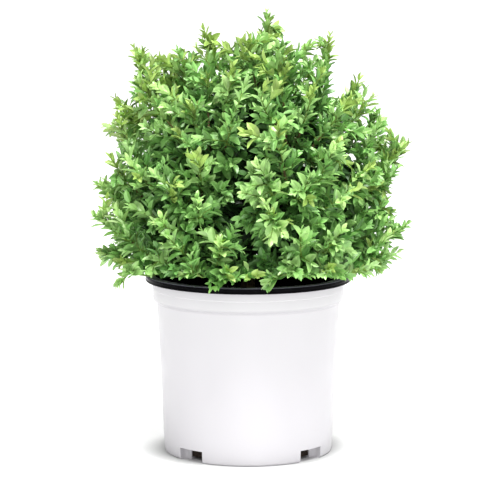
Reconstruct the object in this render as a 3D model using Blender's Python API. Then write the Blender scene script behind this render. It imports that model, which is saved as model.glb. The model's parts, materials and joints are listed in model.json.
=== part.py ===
"""Potted boxwood: a rounded evergreen shrub in a white nursery pot with a black rolled rim.

Metres, +Z up. The origin is on the pot's axis, on the flat underside of its floor.
Limbs and foliage grow by one rule from the fork of a short trunk. The crown's outline is
how far it reaches from that fork in each direction, and each mass of foliage keeps to the
cone round its own direction, which ends half way to its neighbours' directions.
"""

import math
import random

import bmesh
import bpy
from mathutils import Matrix, Vector
from mathutils.bvhtree import BVHTree

UP = Vector((0.0, 0.0, 1.0))
GAP = 0.0003
MEETING_GAP = 0.0004

# Pot
POT_HEIGHT = 0.204
RIM_RADIUS = 0.1175
RIM_DEPTH = 0.007
RIM_THICKNESS = 0.0016
SKIRT_THICKNESS = 0.0012
SKIRT_DEPTH = 0.0235
COLLAR_RADIUS = 0.1091
COLLAR_HEIGHT = 0.027
COLLAR_STEP = 0.0025
BODY_TOP_RADIUS = 0.1046
BODY_MIDDLE_RADIUS = 0.1002
FOOT_RADIUS = 0.0964
FOOT_ROUND = 0.003
WALL = 0.0015
FLOOR = 0.0025
POT_SIDES = 40

# Drain scoops: the foot of the wall is pushed in at four places round the pot
SCOOPS = 4
FIRST_SCOOP = math.radians(-42.4)
SCOOP_WIDTH = 0.034
SCOOP_DEPTH = 0.012
SCOOP_HEIGHT = 0.0137
SCOOP_CORNER = 0.0075
DRAIN_WIDTH = 0.019
DRAIN_SILL = 0.0034
DRAIN_TOP = 0.0131

# Potting mix
SOIL_TOP = 0.181
SOIL_DROP = 0.004
SOIL_FLAT_RADIUS = 0.022

# Trunk and limbs
FOOT = Vector((-0.001, 0.001, SOIL_TOP + GAP))
FORK = Vector((0.003, 0.0, 0.216))
TRUNK_FOOT_RADIUS = 0.0105
# (share of the way up to the fork, share of the foot's radius)
TRUNK_SHAPE = ((0.0, 1.0), (0.16, 0.80), (0.42, 0.66), (0.78, 0.67), (1.0, 0.72))
ROOT_LOBES = 5
ROOT_RIDGE = 0.16
ROOT_HOLLOW = -0.10
LEADER_RADIUS = 0.0040
BOUGH_RADIUS = 0.0034
BRANCH_RADIUS = 0.0025
LIMB_TAPER = 0.62
LIMB_POINTS = 5
LIMB_BEND = 0.35
COLLAR_SHARE = 1.5
ENTRY_SHARE = 0.40
# Where branches leave: a share of the way along the leader, or along the nearest bough
UPPER_START = 0.24
UPPER_STEP = 0.12
LOWER_START = 0.5
LOWER_STEP = 0.2
TAKEN_PENALTY = 0.2

# Crown
CROWN_SEED = 41
SIDE_REACH = 0.172
TOP_REACH = 0.283
SKIRT_SLOPE = 0.16
LOWEST_TIP = 0.193
LOWEST_LEAF = 0.186
LOBES = 5
LOBE_DEPTH = 0.03
RAGGED = 0.04
RINGS = (
    # name, masses, elevation, first azimuth
    ("top", 1, 86.0, 20.0),
    ("upper", 5, 60.0, 15.0),
    ("middle", 6, 34.0, -4.0),
    ("lower", 7, 6.0, -8.0),
)
# Tips of the shoots that stand out of the crown
LONG_SHOOTS = (
    Vector((0.023, 0.010, 0.5066)),
    Vector((-0.052, 0.020, 0.486)),
    Vector((0.094, 0.020, 0.479)),
    Vector((-0.132, 0.030, 0.464)),
    Vector((0.129, 0.020, 0.429)),
    Vector((-0.154, 0.020, 0.405)),
    Vector((0.187, -0.010, 0.361)),
    Vector((-0.179, -0.015, 0.313)),
    Vector((0.168, -0.020, 0.322)),
    Vector((-0.180, -0.045, 0.280)),
    Vector((0.188, -0.015, 0.268)),
    Vector((-0.176, -0.040, 0.236)),
    Vector((0.171, -0.030, 0.228)),
    Vector((-0.147, -0.055, 0.194)),
)

# Foliage
SIDE_TWIGS = 6
FIRST_TWIG = 0.08
TWIG_RANGE = 0.45
GOLDEN_SHARE = 0.618
OUTER_FAN = math.radians(18.5)
INNER_FAN = math.radians(15.0)
STEM_RADIUS = 0.0021
TWIG_RADIUS = 0.0016
TIP_TAPER = 0.6
TWIG_BEND = 0.5
TIP_LIFT = 0.25
TIP_DROOP = -0.6
LEAF_LENGTH = 0.048
LEAF_WIDTH = 0.030
LEAF_THICKNESS = 0.0015
LEAF_FOLD = 0.16
LEAF_WIDEST = 0.48
LEAF_THICKEST = 0.4
LEAF_FACES_UP = 0.4
LEAF_SINK = 0.0005
LEAF_SPACING = 0.024
FIRST_PAIR = 0.3
STEM_PAIRS = 5
TWIG_PAIRS = 4
# A leaf that doesn't fit is tried turned about its twig, closer to it, and shorter
LEAF_TRIES = (
    # angle from the twig, turn about it, share of the leaf's length
    (52.0, 0.0, 1.0),
    (48.0, 35.0, 1.0),
    (48.0, -35.0, 1.0),
    (34.0, 0.0, 1.0),
    (30.0, 50.0, 0.9),
    (30.0, -50.0, 0.9),
    (60.0, 0.0, 0.75),
    (22.0, 0.0, 0.75),
)
CLEARANCE = 0.0008
POT_CLEARANCE = 0.0015


def clear_scene():
    for thing in list(bpy.data.objects):
        bpy.data.objects.remove(thing)


def material(name, colour, roughness):
    made = bpy.data.materials.new(name)
    made.use_nodes = True
    shader = made.node_tree.nodes["Principled BSDF"]
    shader.inputs["Base Color"].default_value = (*colour, 1.0)
    shader.inputs["Roughness"].default_value = roughness
    shader.inputs["Metallic"].default_value = 0.0
    return made


def object_from(name, work):
    """An object from a bmesh, which is freed."""
    mesh = bpy.data.meshes.new(name)
    work.to_mesh(mesh)
    work.free()
    made = bpy.data.objects.new(name, mesh)
    bpy.context.scene.collection.objects.link(made)
    return made


def solid(name, vertices, faces):
    mesh = bpy.data.meshes.new(name)
    mesh.from_pydata(vertices, [], faces)
    made = bpy.data.objects.new(name, mesh)
    bpy.context.scene.collection.objects.link(made)
    return made


def finish(thing, finish_material, origin=Vector(), sharp_angle=35.0):
    """Gives a finished piece its material, its shading and its own origin."""
    thing.data.transform(Matrix.Translation(-origin))
    thing.location = origin
    thing.data.materials.clear()
    thing.data.materials.append(finish_material)
    thing.data.shade_smooth()
    thing.data.set_sharp_from_angle(angle=math.radians(sharp_angle))
    return thing


def combine(body, others, operation):
    """One Boolean of the body with all the others, applied. The others are removed."""
    group = bpy.data.collections.new(body.name + "_others")
    bpy.context.scene.collection.children.link(group)
    for other in others:
        bpy.context.scene.collection.objects.unlink(other)
        group.objects.link(other)
    boolean = body.modifiers.new("combine", "BOOLEAN")
    boolean.operation = operation
    boolean.operand_type = "COLLECTION"
    boolean.collection = group
    boolean.solver = "EXACT"
    graph = bpy.context.evaluated_depsgraph_get()
    joined = bpy.data.meshes.new_from_object(body.evaluated_get(graph))
    body.modifiers.clear()
    body.data = joined
    for other in others:
        bpy.data.objects.remove(other)
    bpy.data.collections.remove(group)
    return body


def turned(name, profile, sides, closed=False):
    """A profile of (radius, height) points spun about Z; a closed profile makes a ring."""
    work = bmesh.new()
    points = [work.verts.new((radius, 0.0, height)) for radius, height in profile]
    for low, high in zip(points, points[1:]):
        work.edges.new((low, high))
    if closed:
        work.edges.new((points[-1], points[0]))
    bmesh.ops.spin(
        work,
        geom=work.verts[:] + work.edges[:],
        cent=(0.0, 0.0, 0.0),
        axis=UP,
        angle=2.0 * math.pi,
        steps=sides,
        use_merge=True,
    )
    bmesh.ops.remove_doubles(work, verts=work.verts, dist=1e-6)
    bmesh.ops.recalc_face_normals(work, faces=work.faces)
    return object_from(name, work)


def prism(name, outline, low, high):
    """An outline of (x, y) points, extruded from one height to another."""
    work = bmesh.new()
    floor = work.faces.new([work.verts.new((x, y, low)) for x, y in outline])
    raised = bmesh.ops.extrude_face_region(work, geom=[floor], use_keep_orig=True)
    lifted = [v for v in raised["geom"] if isinstance(v, bmesh.types.BMVert)]
    bmesh.ops.translate(work, verts=lifted, vec=(0.0, 0.0, high - low))
    bmesh.ops.recalc_face_normals(work, faces=work.faces)
    return object_from(name, work)


def swept(points, radii, sides, first=None):
    """Vertices and faces of a closed tube along points, with flat ends.

    The first end is square to the direction called first, or to its own segment.
    """
    last = len(points) - 1
    first = first or points[1] - points[0]
    across = first.orthogonal().normalized()
    vertices, faces = [], []
    for k, (point, radius) in enumerate(zip(points, radii)):
        tangent = points[min(k + 1, last)] - points[max(k - 1, 0)] if k else first
        tangent = tangent.normalized()
        across = (across - across.dot(tangent) * tangent).normalized()
        other = tangent.cross(across)
        for side in range(sides):
            turn = 2.0 * math.pi * side / sides
            offset = math.cos(turn) * across + math.sin(turn) * other
            vertices.append(point + radius * offset)
    for ring in range(last):
        for side in range(sides):
            low = ring * sides + side
            after = ring * sides + (side + 1) % sides
            faces.append([low, after, after + sides, low + sides])
    faces.append(list(range(sides))[::-1])
    faces.append(list(range(last * sides, (last + 1) * sides)))
    return vertices, faces


def curve(start, middle, end, count):
    """Points along the curve that leaves start towards middle and comes to end from it."""
    shares = [k / (count - 1) for k in range(count)]
    return [(1 - t) ** 2 * start + 2 * t * (1 - t) * middle + t * t * end for t in shares]


def taper(radius, end_share, count):
    return [radius * (1.0 - (1.0 - end_share) * k / (count - 1)) for k in range(count)]


# ---------------------------------------------------------------- pot, rim and potting mix


def turned_plan(points, turn):
    """(x, y) points turned about the pot's axis."""
    cosine, sine = math.cos(turn), math.sin(turn)
    return [(x * cosine - y * sine, x * sine + y * cosine) for x, y in points]


def scoop_plan(turn, grown=0.0):
    """The plan of one scoop, larger all round by grown: a bay with rounded inner corners."""
    half = SCOOP_WIDTH / 2 + grown
    inner = FOOT_RADIUS - SCOOP_DEPTH - grown
    outer = FOOT_RADIUS + SCOOP_DEPTH
    corner = SCOOP_CORNER
    cut = corner * (1.0 - math.sqrt(0.5))
    side = [
        (outer, half),
        (inner + corner, half),
        (inner + cut, half - cut),
        (inner, half - corner),
    ]
    return turned_plan(side + [(x, -y) for x, y in side[::-1]], turn)


def drain_plan(turn):
    """The plan of the drain slot through the back of one scoop."""
    inner = FOOT_RADIUS - SCOOP_DEPTH - 2.0 * WALL
    outer = FOOT_RADIUS - SCOOP_DEPTH + WALL
    half = DRAIN_WIDTH / 2
    return turned_plan([(inner, -half), (outer, -half), (outer, half), (inner, half)], turn)


def scoop_turns():
    return [FIRST_SCOOP + 2.0 * math.pi * k / SCOOPS for k in range(SCOOPS)]


def pot_levels():
    """The top of the pot's wall, its collar's lower edge, and the middle of its body."""
    top = POT_HEIGHT - RIM_THICKNESS - GAP
    shoulder = top - COLLAR_HEIGHT
    return top, shoulder, shoulder / 2


def pot_outside():
    top, shoulder, middle = pot_levels()
    return [
        (0.0, 0.0),
        (FOOT_RADIUS - FOOT_ROUND, 0.0),
        (FOOT_RADIUS - FOOT_ROUND * (1.0 - math.sqrt(0.5)), FOOT_ROUND * (1.0 - math.sqrt(0.5))),
        (FOOT_RADIUS, FOOT_ROUND),
        (BODY_MIDDLE_RADIUS, middle),
        (BODY_TOP_RADIUS, shoulder - COLLAR_STEP),
        (COLLAR_RADIUS - 0.25 * COLLAR_STEP, shoulder),
        (COLLAR_RADIUS, shoulder + COLLAR_STEP),
        (COLLAR_RADIUS, top),
    ]


def make_pot(white):
    """A thin-walled bucket: flat floor, tapered body, and a wider collar under the rim."""
    top, shoulder, middle = pot_levels()
    inside = [
        (COLLAR_RADIUS - WALL, top),
        (COLLAR_RADIUS - WALL, shoulder + COLLAR_STEP),
        (BODY_TOP_RADIUS - WALL, shoulder - 0.5 * COLLAR_STEP),
        (BODY_MIDDLE_RADIUS - WALL, middle),
        (FOOT_RADIUS - WALL, FLOOR),
        (0.0, FLOOR),
    ]
    pot = turned("pot", pot_outside() + inside, POT_SIDES)
    bays, cuts, drains = [], [], []
    for turn in scoop_turns():
        bay = prism("bay", scoop_plan(turn, WALL), 0.3 * FLOOR, SCOOP_HEIGHT + WALL)
        body = turned("body", pot_outside() + [(0.0, top)], POT_SIDES)
        bays.append(combine(bay, [body], "INTERSECT"))
        cuts.append(prism("cut", scoop_plan(turn), -WALL, SCOOP_HEIGHT))
        drains.append(prism("drain", drain_plan(turn), DRAIN_SILL, DRAIN_TOP))
    combine(pot, bays, "UNION")
    combine(pot, cuts, "DIFFERENCE")
    combine(pot, drains, "DIFFERENCE")
    return finish(pot, white)


def make_rim(black):
    """The black rolled rim: a lip turned down outside, and a skirt that lines the collar."""
    under = POT_HEIGHT - RIM_THICKNESS
    skirt = COLLAR_RADIUS - WALL - GAP
    profile = [
        (RIM_RADIUS - RIM_THICKNESS, POT_HEIGHT - RIM_DEPTH),
        (RIM_RADIUS, POT_HEIGHT - RIM_DEPTH),
        (RIM_RADIUS, POT_HEIGHT - RIM_THICKNESS),
        (RIM_RADIUS - RIM_THICKNESS, POT_HEIGHT),
        (skirt, POT_HEIGHT),
        (skirt - SKIRT_THICKNESS, POT_HEIGHT - SKIRT_THICKNESS),
        (skirt - SKIRT_THICKNESS, POT_HEIGHT - SKIRT_DEPTH),
        (skirt, POT_HEIGHT - SKIRT_DEPTH),
        (skirt, under),
        (RIM_RADIUS - RIM_THICKNESS, under),
    ]
    return finish(turned("pot_rim", profile, POT_SIDES, closed=True), black)


def make_soil(brown):
    """The potting mix, filling the pot to a little below its rim and round the four bays."""
    _, shoulder, middle = pot_levels()
    inset = WALL + 2.0 * GAP
    side = BODY_TOP_RADIUS - inset
    profile = [
        (0.0, FLOOR + GAP),
        (FOOT_RADIUS - inset, FLOOR + GAP),
        (BODY_MIDDLE_RADIUS - inset, middle),
        (side, shoulder - COLLAR_STEP),
        (side, SOIL_TOP - SOIL_DROP),
        (0.6 * side, SOIL_TOP - 0.3 * SOIL_DROP),
        (SOIL_FLAT_RADIUS, SOIL_TOP),
        (0.0, SOIL_TOP),
    ]
    soil = turned("potting_mix", profile, POT_SIDES)
    top = SCOOP_HEIGHT + WALL + GAP
    bays = [prism("bay", scoop_plan(turn, WALL + GAP), 0.0, top) for turn in scoop_turns()]
    return finish(combine(soil, bays, "DIFFERENCE"), brown)


# ---------------------------------------------------------------- trunk and limbs


def heading(azimuth, elevation):
    """The unit vector at an azimuth and an elevation in degrees."""
    around, rise = math.radians(azimuth), math.radians(elevation)
    level = math.cos(rise)
    return Vector((level * math.cos(around), level * math.sin(around), math.sin(rise)))


def crown_reach(direction):
    """How far the crown goes from the fork: a dome with shallow lobes that droops below."""
    rise = direction.z
    dome = SIDE_REACH + (TOP_REACH - SIDE_REACH) * rise * rise
    if rise < 0.0:
        dome = SIDE_REACH + SKIRT_SLOPE * rise
    around = math.atan2(direction.y, direction.x)
    return dome * (1.0 + LOBE_DEPTH * math.sin(LOBES * around + 3.0 * rise))


def mass_directions():
    """(ring, direction) of each mass of foliage, ring by ring from the top down."""
    shaker = random.Random(CROWN_SEED)
    found = []
    for ring, count, elevation, first in RINGS:
        for k in range(count):
            azimuth = first + 360.0 * k / count + shaker.uniform(-4.0, 4.0)
            found.append((ring, heading(azimuth, elevation + shaker.uniform(-2.0, 2.0))))
    return found


class Limb:
    """One tapering limb of the frame."""

    def __init__(self, name, points, radius, sides):
        self.name = name
        self.points = points
        self.sides = sides
        self.radii = taper(radius, LIMB_TAPER, len(points))
        wide = [(r + CLEARANCE) / math.cos(math.pi / sides) for r in self.radii]
        self.guard = BVHTree.FromPolygons(*swept(points, wide, sides))

    def end_direction(self):
        return (self.points[-1] - self.points[-2]).normalized()

    def at(self, share):
        """(point, direction, radius) at a share of the way along."""
        place = share * (len(self.points) - 1)
        k = min(int(place), len(self.points) - 2)
        along = self.points[k + 1] - self.points[k]
        radius = self.radii[k] + (place - k) * (self.radii[k + 1] - self.radii[k])
        return self.points[k] + (place - k) * along, along.normalized(), radius

    def build(self, bark):
        """The limb's solid: a curve with a round bevel, thinner at each point, and flat ends."""
        route = bpy.data.curves.new(self.name, "CURVE")
        route.dimensions = "3D"
        route.bevel_depth = 1.0
        route.bevel_resolution = self.sides // 2 - 2
        route.use_fill_caps = True
        line = route.splines.new("POLY")
        line.points.add(len(self.points) - 1)
        for spot, point, radius in zip(line.points, self.points, self.radii):
            spot.co = (*(point - self.points[0]), 1.0)
            spot.radius = radius
        made = bpy.data.objects.new(self.name, route)
        made.location = self.points[0]
        route.materials.append(bark)
        bpy.context.scene.collection.objects.link(made)
        return made


def make_trunk(bark):
    """The short stem: a flat cut on the potting mix, a lobed root flare, and the fork."""
    sides = 2 * ROOT_LOBES
    work = bmesh.new()
    bmesh.ops.create_circle(work, cap_ends=True, segments=sides, radius=1.0)
    face = work.faces[:][0]
    for level, (share, size) in enumerate(TRUNK_SHAPE):
        if level:
            face = bmesh.ops.extrude_discrete_faces(work, faces=[face])["faces"][0]
        for k, corner in enumerate(face.verts):
            turn = 2.0 * math.pi * k / sides
            ridge = ROOT_RIDGE if k % 2 == 0 else ROOT_HOLLOW
            lobe = 1.0 + ridge * (1.0 - share) ** 3
            outward = Vector((math.cos(turn), math.sin(turn), 0.0))
            corner.co = share * (FORK - FOOT) + lobe * size * TRUNK_FOOT_RADIUS * outward
    bmesh.ops.holes_fill(work, edges=work.edges, sides=sides)
    bmesh.ops.recalc_face_normals(work, faces=work.faces)
    bmesh.ops.translate(work, verts=work.verts, vec=FOOT)
    return finish(object_from("trunk", work), bark, FOOT)


def limb_line(start, away, end, radius):
    """A limb's line: straight away from what bears it, and then a bend to its mass."""
    collar = start + COLLAR_SHARE * radius * away
    middle = collar + LIMB_BEND * (end - collar).length * away
    return [start] + curve(collar, middle, end, LIMB_POINTS - 1)


def limb_from_trunk(name, direction, entry, radius, sides):
    """A bough that leaves the trunk's head sideways, or on top, and bends to its mass."""
    end = FORK + entry * direction
    start = FORK + MEETING_GAP * UP
    away = UP
    level = Vector((direction.x, direction.y, 0.0))
    if level.length > 0.3:
        away = level.normalized()
        start = FORK + (TRUNK_SHAPE[-1][1] * TRUNK_FOOT_RADIUS + MEETING_GAP) * away
        start.z -= radius + MEETING_GAP
    return Limb(name, limb_line(start, away, end, radius), radius, sides)


def limb_from_limb(name, parent, share, direction, entry, radius, sides):
    """A branch that leaves its parent's side at right angles and bends to its mass."""
    point, along, parent_radius = parent.at(share)
    end = FORK + entry * direction
    side = end - point
    side = (side - side.dot(along) * along).normalized()
    start = point + (parent_radius + MEETING_GAP) * side
    return Limb(name, limb_line(start, side, end, radius), radius, sides)


def grow_limbs(masses):
    """The limb that ends at each mass, in the order of the masses.

    The leader and the middle ring's boughs come from the trunk. The upper ring's branches
    leave the leader, and the lower ring's leave the nearest bough.
    """
    limbs = {}
    rings = {name: [] for name, *_ in RINGS}
    for k, (ring, _) in enumerate(masses):
        rings[ring].append(k)

    def goal(k):
        direction = masses[k][1]
        return direction, ENTRY_SHARE * crown_reach(direction)

    for k in rings["top"]:
        limbs[k] = limb_from_trunk("leader", *goal(k), LEADER_RADIUS, 6)
    for order, k in enumerate(rings["middle"]):
        limbs[k] = limb_from_trunk(f"bough_{order + 1}", *goal(k), BOUGH_RADIUS, 6)
    leader = limbs[rings["top"][0]]
    branches = 0
    for order, k in enumerate(rings["upper"]):
        branches += 1
        share = UPPER_START + UPPER_STEP * (2 * order % len(rings["upper"]))
        name = f"branch_{branches}"
        limbs[k] = limb_from_limb(name, leader, share, *goal(k), BRANCH_RADIUS, 6)
    used = {}
    for k in rings["lower"]:
        branches += 1
        direction = masses[k][1]
        near = max(
            rings["middle"],
            key=lambda m: masses[m][1].dot(direction) - TAKEN_PENALTY * used.get(m, 0),
        )
        share = LOWER_START - LOWER_STEP * used.get(near, 0)
        used[near] = used.get(near, 0) + 1
        name = f"branch_{branches}"
        limbs[k] = limb_from_limb(name, limbs[near], share, *goal(k), BRANCH_RADIUS, 6)
    return [limbs[k] for k in range(len(masses))]


# ---------------------------------------------------------------- foliage


class Space:
    """The room of one mass: its cone from the fork, clear of the limbs and the pot."""

    def __init__(self, index, masses, guards):
        own = masses[index][1]
        others = [direction for k, (_, direction) in enumerate(masses) if k != index]
        self.edges = [(own - other).normalized() for other in others]
        self.guards = guards

    def holds(self, point):
        off = point - FORK
        return point.z > LOWEST_LEAF and all(off.dot(edge) > CLEARANCE / 2 for edge in self.edges)

    def takes(self, vertices, tree):
        """Whether a piece stays inside and touches no guard."""
        if not all(self.holds(vertex) for vertex in vertices):
            return False
        return not any(tree.overlap(guard) for guard in self.guards)


def frame_axes(along):
    """Two directions across a twig: one level, and one that faces up."""
    side = along.cross(UP)
    if side.length < 0.1:
        side = Vector((1.0, 0.0, 0.0))
    side.normalize()
    return side, side.cross(along).normalized()


def leaf_solid(base, along, face, length):
    """One leaf, of 6 faces: a pointed oval with its edges raised and its rib thicker below."""
    across = along.cross(face).normalized()
    face = across.cross(along).normalized()
    half = LEAF_WIDTH / LEAF_LENGTH * length / 2
    edge = base + LEAF_WIDEST * length * along + LEAF_FOLD * half * face
    rib = base + LEAF_THICKEST * length * along - LEAF_THICKNESS * face
    vertices = [base, base + length * along, edge - half * across, edge + half * across, rib]
    faces = [(0, 1, 2), (1, 0, 3), (0, 4, 3), (4, 1, 3), (1, 4, 2), (4, 0, 2)]
    return vertices, faces


def back_along(points, distance):
    """(point, direction) at a distance back from the end of a line."""
    for k in range(len(points) - 1, 0, -1):
        along = points[k] - points[k - 1]
        if distance <= along.length or k == 1:
            direction = along.normalized()
            return points[k] - min(distance, along.length) * direction, direction
        distance -= along.length
    return points[0], points[1] - points[0]


def leaf_places(line, target, pairs, turn):
    """The leaves on a twig: one at its tip, then pairs, each at right angles to the last.

    Each place is a list of the ways to try it: (base, direction, upper side, length).
    """
    tip, along = back_along(line, 0.0)
    _, face = frame_axes(along)
    onward = (target - tip).normalized()
    places = [[(tip - 2.0 * LEAF_SINK * onward, onward, face, LEAF_LENGTH)]]
    for k in range(pairs):
        base, along = back_along(line, LEAF_SPACING * (k + FIRST_PAIR))
        side, face = frame_axes(along)
        for way in (0.0, math.pi):
            tries = []
            for spread, roll, share in LEAF_TRIES:
                angle = turn + k * math.pi / 2 + way + math.radians(roll)
                out = math.cos(angle) * side + math.sin(angle) * face
                spread = math.radians(spread)
                leaf = math.cos(spread) * along + math.sin(spread) * out
                upper = along + LEAF_FACES_UP * UP
                upper = (upper - upper.dot(leaf) * leaf).normalized()
                tries.append((base - LEAF_SINK * leaf, leaf, upper, share * LEAF_LENGTH))
            places.append(tries)
    return places


def twig_targets(index, masses, space, shaker):
    """The tips that a mass reaches: its own, and a fan round it.

    A long shoot in its room takes the place of the nearest of them.
    """
    own = masses[index][1]
    side, face = frame_axes(own)
    turn = shaker.uniform(0.0, 2.0 * math.pi)
    ways = [own]
    for k in range(SIDE_TWIGS):
        angle = turn + 2.0 * math.pi * k / SIDE_TWIGS + shaker.uniform(-0.2, 0.2)
        spread = (OUTER_FAN if k % 2 else INNER_FAN) * shaker.uniform(0.9, 1.1)
        offset = math.cos(angle) * side + math.sin(angle) * face
        ways.append(math.cos(spread) * own + math.sin(spread) * offset)
    tips = []
    for way in ways:
        reach = crown_reach(way) * (1.0 + shaker.uniform(-RAGGED, RAGGED))
        tips.append(FORK + reach * way)
        tips[-1].z = max(tips[-1].z, LOWEST_TIP)
    for shoot in LONG_SHOOTS:
        if space.holds(shoot):
            nearest = min(range(len(tips)), key=lambda k: (tips[k] - shoot).length)
            tips[nearest] = shoot
    return tips


def twig_line(start, along, target, count):
    """A twig's line, from its start to a leaf's length short of its target."""
    straight = (target - start).normalized()
    lift = TIP_LIFT if target.z > FORK.z else TIP_DROOP
    arrive = (straight + lift * UP).normalized()
    end = target - LEAF_LENGTH * arrive
    length = (end - start).length
    leaving = start + TWIG_BEND * length * (along + straight).normalized()
    coming = end - TWIG_BEND * length * arrive
    return curve(start, leaving.lerp(coming, 0.5), end, count)


def keep_largest(thing):
    """Drops loose scraps, and anything that hangs on by one vertex, so a mass is one body."""
    work = bmesh.new()
    work.from_mesh(thing.data)
    bmesh.ops.remove_doubles(work, verts=work.verts, dist=1e-6)
    left, islands = set(work.faces), []
    while left:
        island, queue = [], [left.pop()]
        while queue:
            face = queue.pop()
            island.append(face)
            beside = {other for edge in face.edges for other in edge.link_faces} & left
            left -= beside
            queue.extend(beside)
        islands.append(island)
    largest = max(islands, key=len)
    scraps = [face for island in islands if island is not largest for face in island]
    bmesh.ops.delete(work, geom=scraps, context="FACES")
    work.to_mesh(thing.data)
    work.free()
    return thing


def grow_mass(index, masses, limbs, pot_guard, green):
    """One mass of foliage: a stem that goes on from its limb, a fan of twigs, and leaves."""
    name = f"foliage_{index + 1}"
    shaker = random.Random(CROWN_SEED * 100 + index)
    limb = limbs[index]
    guards = [other.guard for other in limbs] + [pot_guard]
    space = Space(index, masses, guards)
    tips = twig_targets(index, masses, space, shaker)
    start = limb.points[-1] + MEETING_GAP * limb.end_direction()
    stem = twig_line(start, limb.end_direction(), tips[0], 5)
    radii = taper(STEM_RADIUS, TIP_TAPER, len(stem))
    shape = swept(stem, radii, 3, limb.end_direction())
    twigs = [(stem, tips[0], STEM_PAIRS, shape, BVHTree.FromPolygons(*shape))]
    for k, target in enumerate(tips[1:]):
        place = (FIRST_TWIG + TWIG_RANGE * (GOLDEN_SHARE * k % 1.0)) * (len(stem) - 1)
        low = int(place)
        root = stem[low].lerp(stem[low + 1], place - low)
        line = twig_line(root, (stem[low + 1] - stem[low]).normalized(), target, 4)
        shape = swept(line, taper(TWIG_RADIUS, TIP_TAPER, len(line)), 3)
        tree = BVHTree.FromPolygons(*shape)
        if space.takes(shape[0], tree):
            twigs.append((line, target, TWIG_PAIRS, shape, tree))
    pieces = [solid("twig", *shape) for *_, shape, _ in twigs]
    pieces[0].name = name
    leaf_trees = []
    for number, (line, target, pairs, _, _) in enumerate(twigs):
        others = [tree for k, (*_, tree) in enumerate(twigs) if k != number]
        for tries in leaf_places(line, target, pairs, shaker.uniform(0.0, math.pi)):
            for base, along, face, length in tries:
                shape = leaf_solid(base, along, face, length)
                tree = BVHTree.FromPolygons(*shape)
                if not space.takes(shape[0], tree):
                    continue
                if any(tree.overlap(other) for other in others + leaf_trees):
                    continue
                leaf_trees.append(tree)
                pieces.append(solid("leaf", *shape))
                break
    mass = keep_largest(combine(pieces[0], pieces[1:], "UNION"))
    return finish(mass, green, start, 20.0)


def main():
    clear_scene()
    white = material("pot_white", (0.86, 0.86, 0.87), 0.35)
    black = material("rim_black", (0.015, 0.014, 0.016), 0.3)
    brown = material("potting_mix_brown", (0.035, 0.024, 0.017), 0.95)
    bark = material("bark", (0.22, 0.15, 0.09), 0.85)
    green = material("leaf_green", (0.14, 0.36, 0.06), 0.45)
    make_pot(white)
    make_rim(black)
    make_soil(brown)
    make_trunk(bark)
    masses = mass_directions()
    limbs = grow_limbs(masses)
    for limb in limbs:
        limb.build(bark)
    pot_edge = RIM_RADIUS + POT_CLEARANCE
    pot_top = POT_HEIGHT + POT_CLEARANCE
    outline = [Vector((0.0, 0.0, 0.0)), Vector((0.0, 0.0, pot_top))]
    pot_guard = BVHTree.FromPolygons(*swept(outline, [pot_edge, pot_edge], POT_SIDES))
    for index in range(len(masses)):
        grow_mass(index, masses, limbs, pot_guard, green)


main()
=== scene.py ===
"""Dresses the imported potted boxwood: pot, potting mix, bark, twigs, shoots, leaves and stage.

Metres, +Z up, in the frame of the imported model. The limbs and twigs grow by the same seeded
rule as the solids, and the rule then goes on to finer shoots, which carry the leaves.
"""

import functools
import json
import math
import random

import bmesh
import bpy
from bpy.props import FloatProperty, FloatVectorProperty, IntProperty, PointerProperty
from mathutils import Matrix, Vector, noise
from mathutils.bvhtree import BVHTree
from mathutils.kdtree import KDTree

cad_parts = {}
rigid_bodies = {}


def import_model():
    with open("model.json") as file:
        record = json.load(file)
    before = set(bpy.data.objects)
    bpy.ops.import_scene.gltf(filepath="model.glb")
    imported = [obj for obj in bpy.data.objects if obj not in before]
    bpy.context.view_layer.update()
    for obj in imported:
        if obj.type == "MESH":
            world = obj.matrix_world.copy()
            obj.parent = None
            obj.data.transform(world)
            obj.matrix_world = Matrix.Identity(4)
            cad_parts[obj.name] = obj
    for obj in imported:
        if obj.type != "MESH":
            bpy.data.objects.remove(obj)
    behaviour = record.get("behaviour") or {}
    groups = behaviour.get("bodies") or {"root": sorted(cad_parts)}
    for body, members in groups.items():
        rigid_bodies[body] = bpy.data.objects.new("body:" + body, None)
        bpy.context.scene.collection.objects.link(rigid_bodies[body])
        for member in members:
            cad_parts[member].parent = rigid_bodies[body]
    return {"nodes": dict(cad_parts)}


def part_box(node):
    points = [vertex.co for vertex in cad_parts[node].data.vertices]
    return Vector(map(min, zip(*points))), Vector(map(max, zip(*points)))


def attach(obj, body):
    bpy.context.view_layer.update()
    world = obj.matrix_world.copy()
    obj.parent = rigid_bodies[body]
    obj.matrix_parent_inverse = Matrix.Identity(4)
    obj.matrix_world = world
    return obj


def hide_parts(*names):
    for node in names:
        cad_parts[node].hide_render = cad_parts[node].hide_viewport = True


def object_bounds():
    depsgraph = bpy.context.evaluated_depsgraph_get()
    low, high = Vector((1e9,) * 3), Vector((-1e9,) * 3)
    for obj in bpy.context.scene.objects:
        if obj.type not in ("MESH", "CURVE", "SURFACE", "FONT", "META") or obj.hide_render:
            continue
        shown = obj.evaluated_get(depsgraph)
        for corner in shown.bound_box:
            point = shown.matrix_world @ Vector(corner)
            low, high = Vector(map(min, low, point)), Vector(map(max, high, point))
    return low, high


bl_info = {
    "name": "Potted boxwood dressing",
    "version": (1, 0, 0),
    "blender": (4, 5, 0),
    "location": "View3D > Sidebar > Boxwood",
    "description": "Builds the visible pot, bark, twigs and leaves of a potted boxwood",
    "category": "Object",
}

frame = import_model()
CAD_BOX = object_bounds()

UP = Vector((0.0, 0.0, 1.0))
BODY = "root"

# ---- sizes that come from the frame

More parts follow.
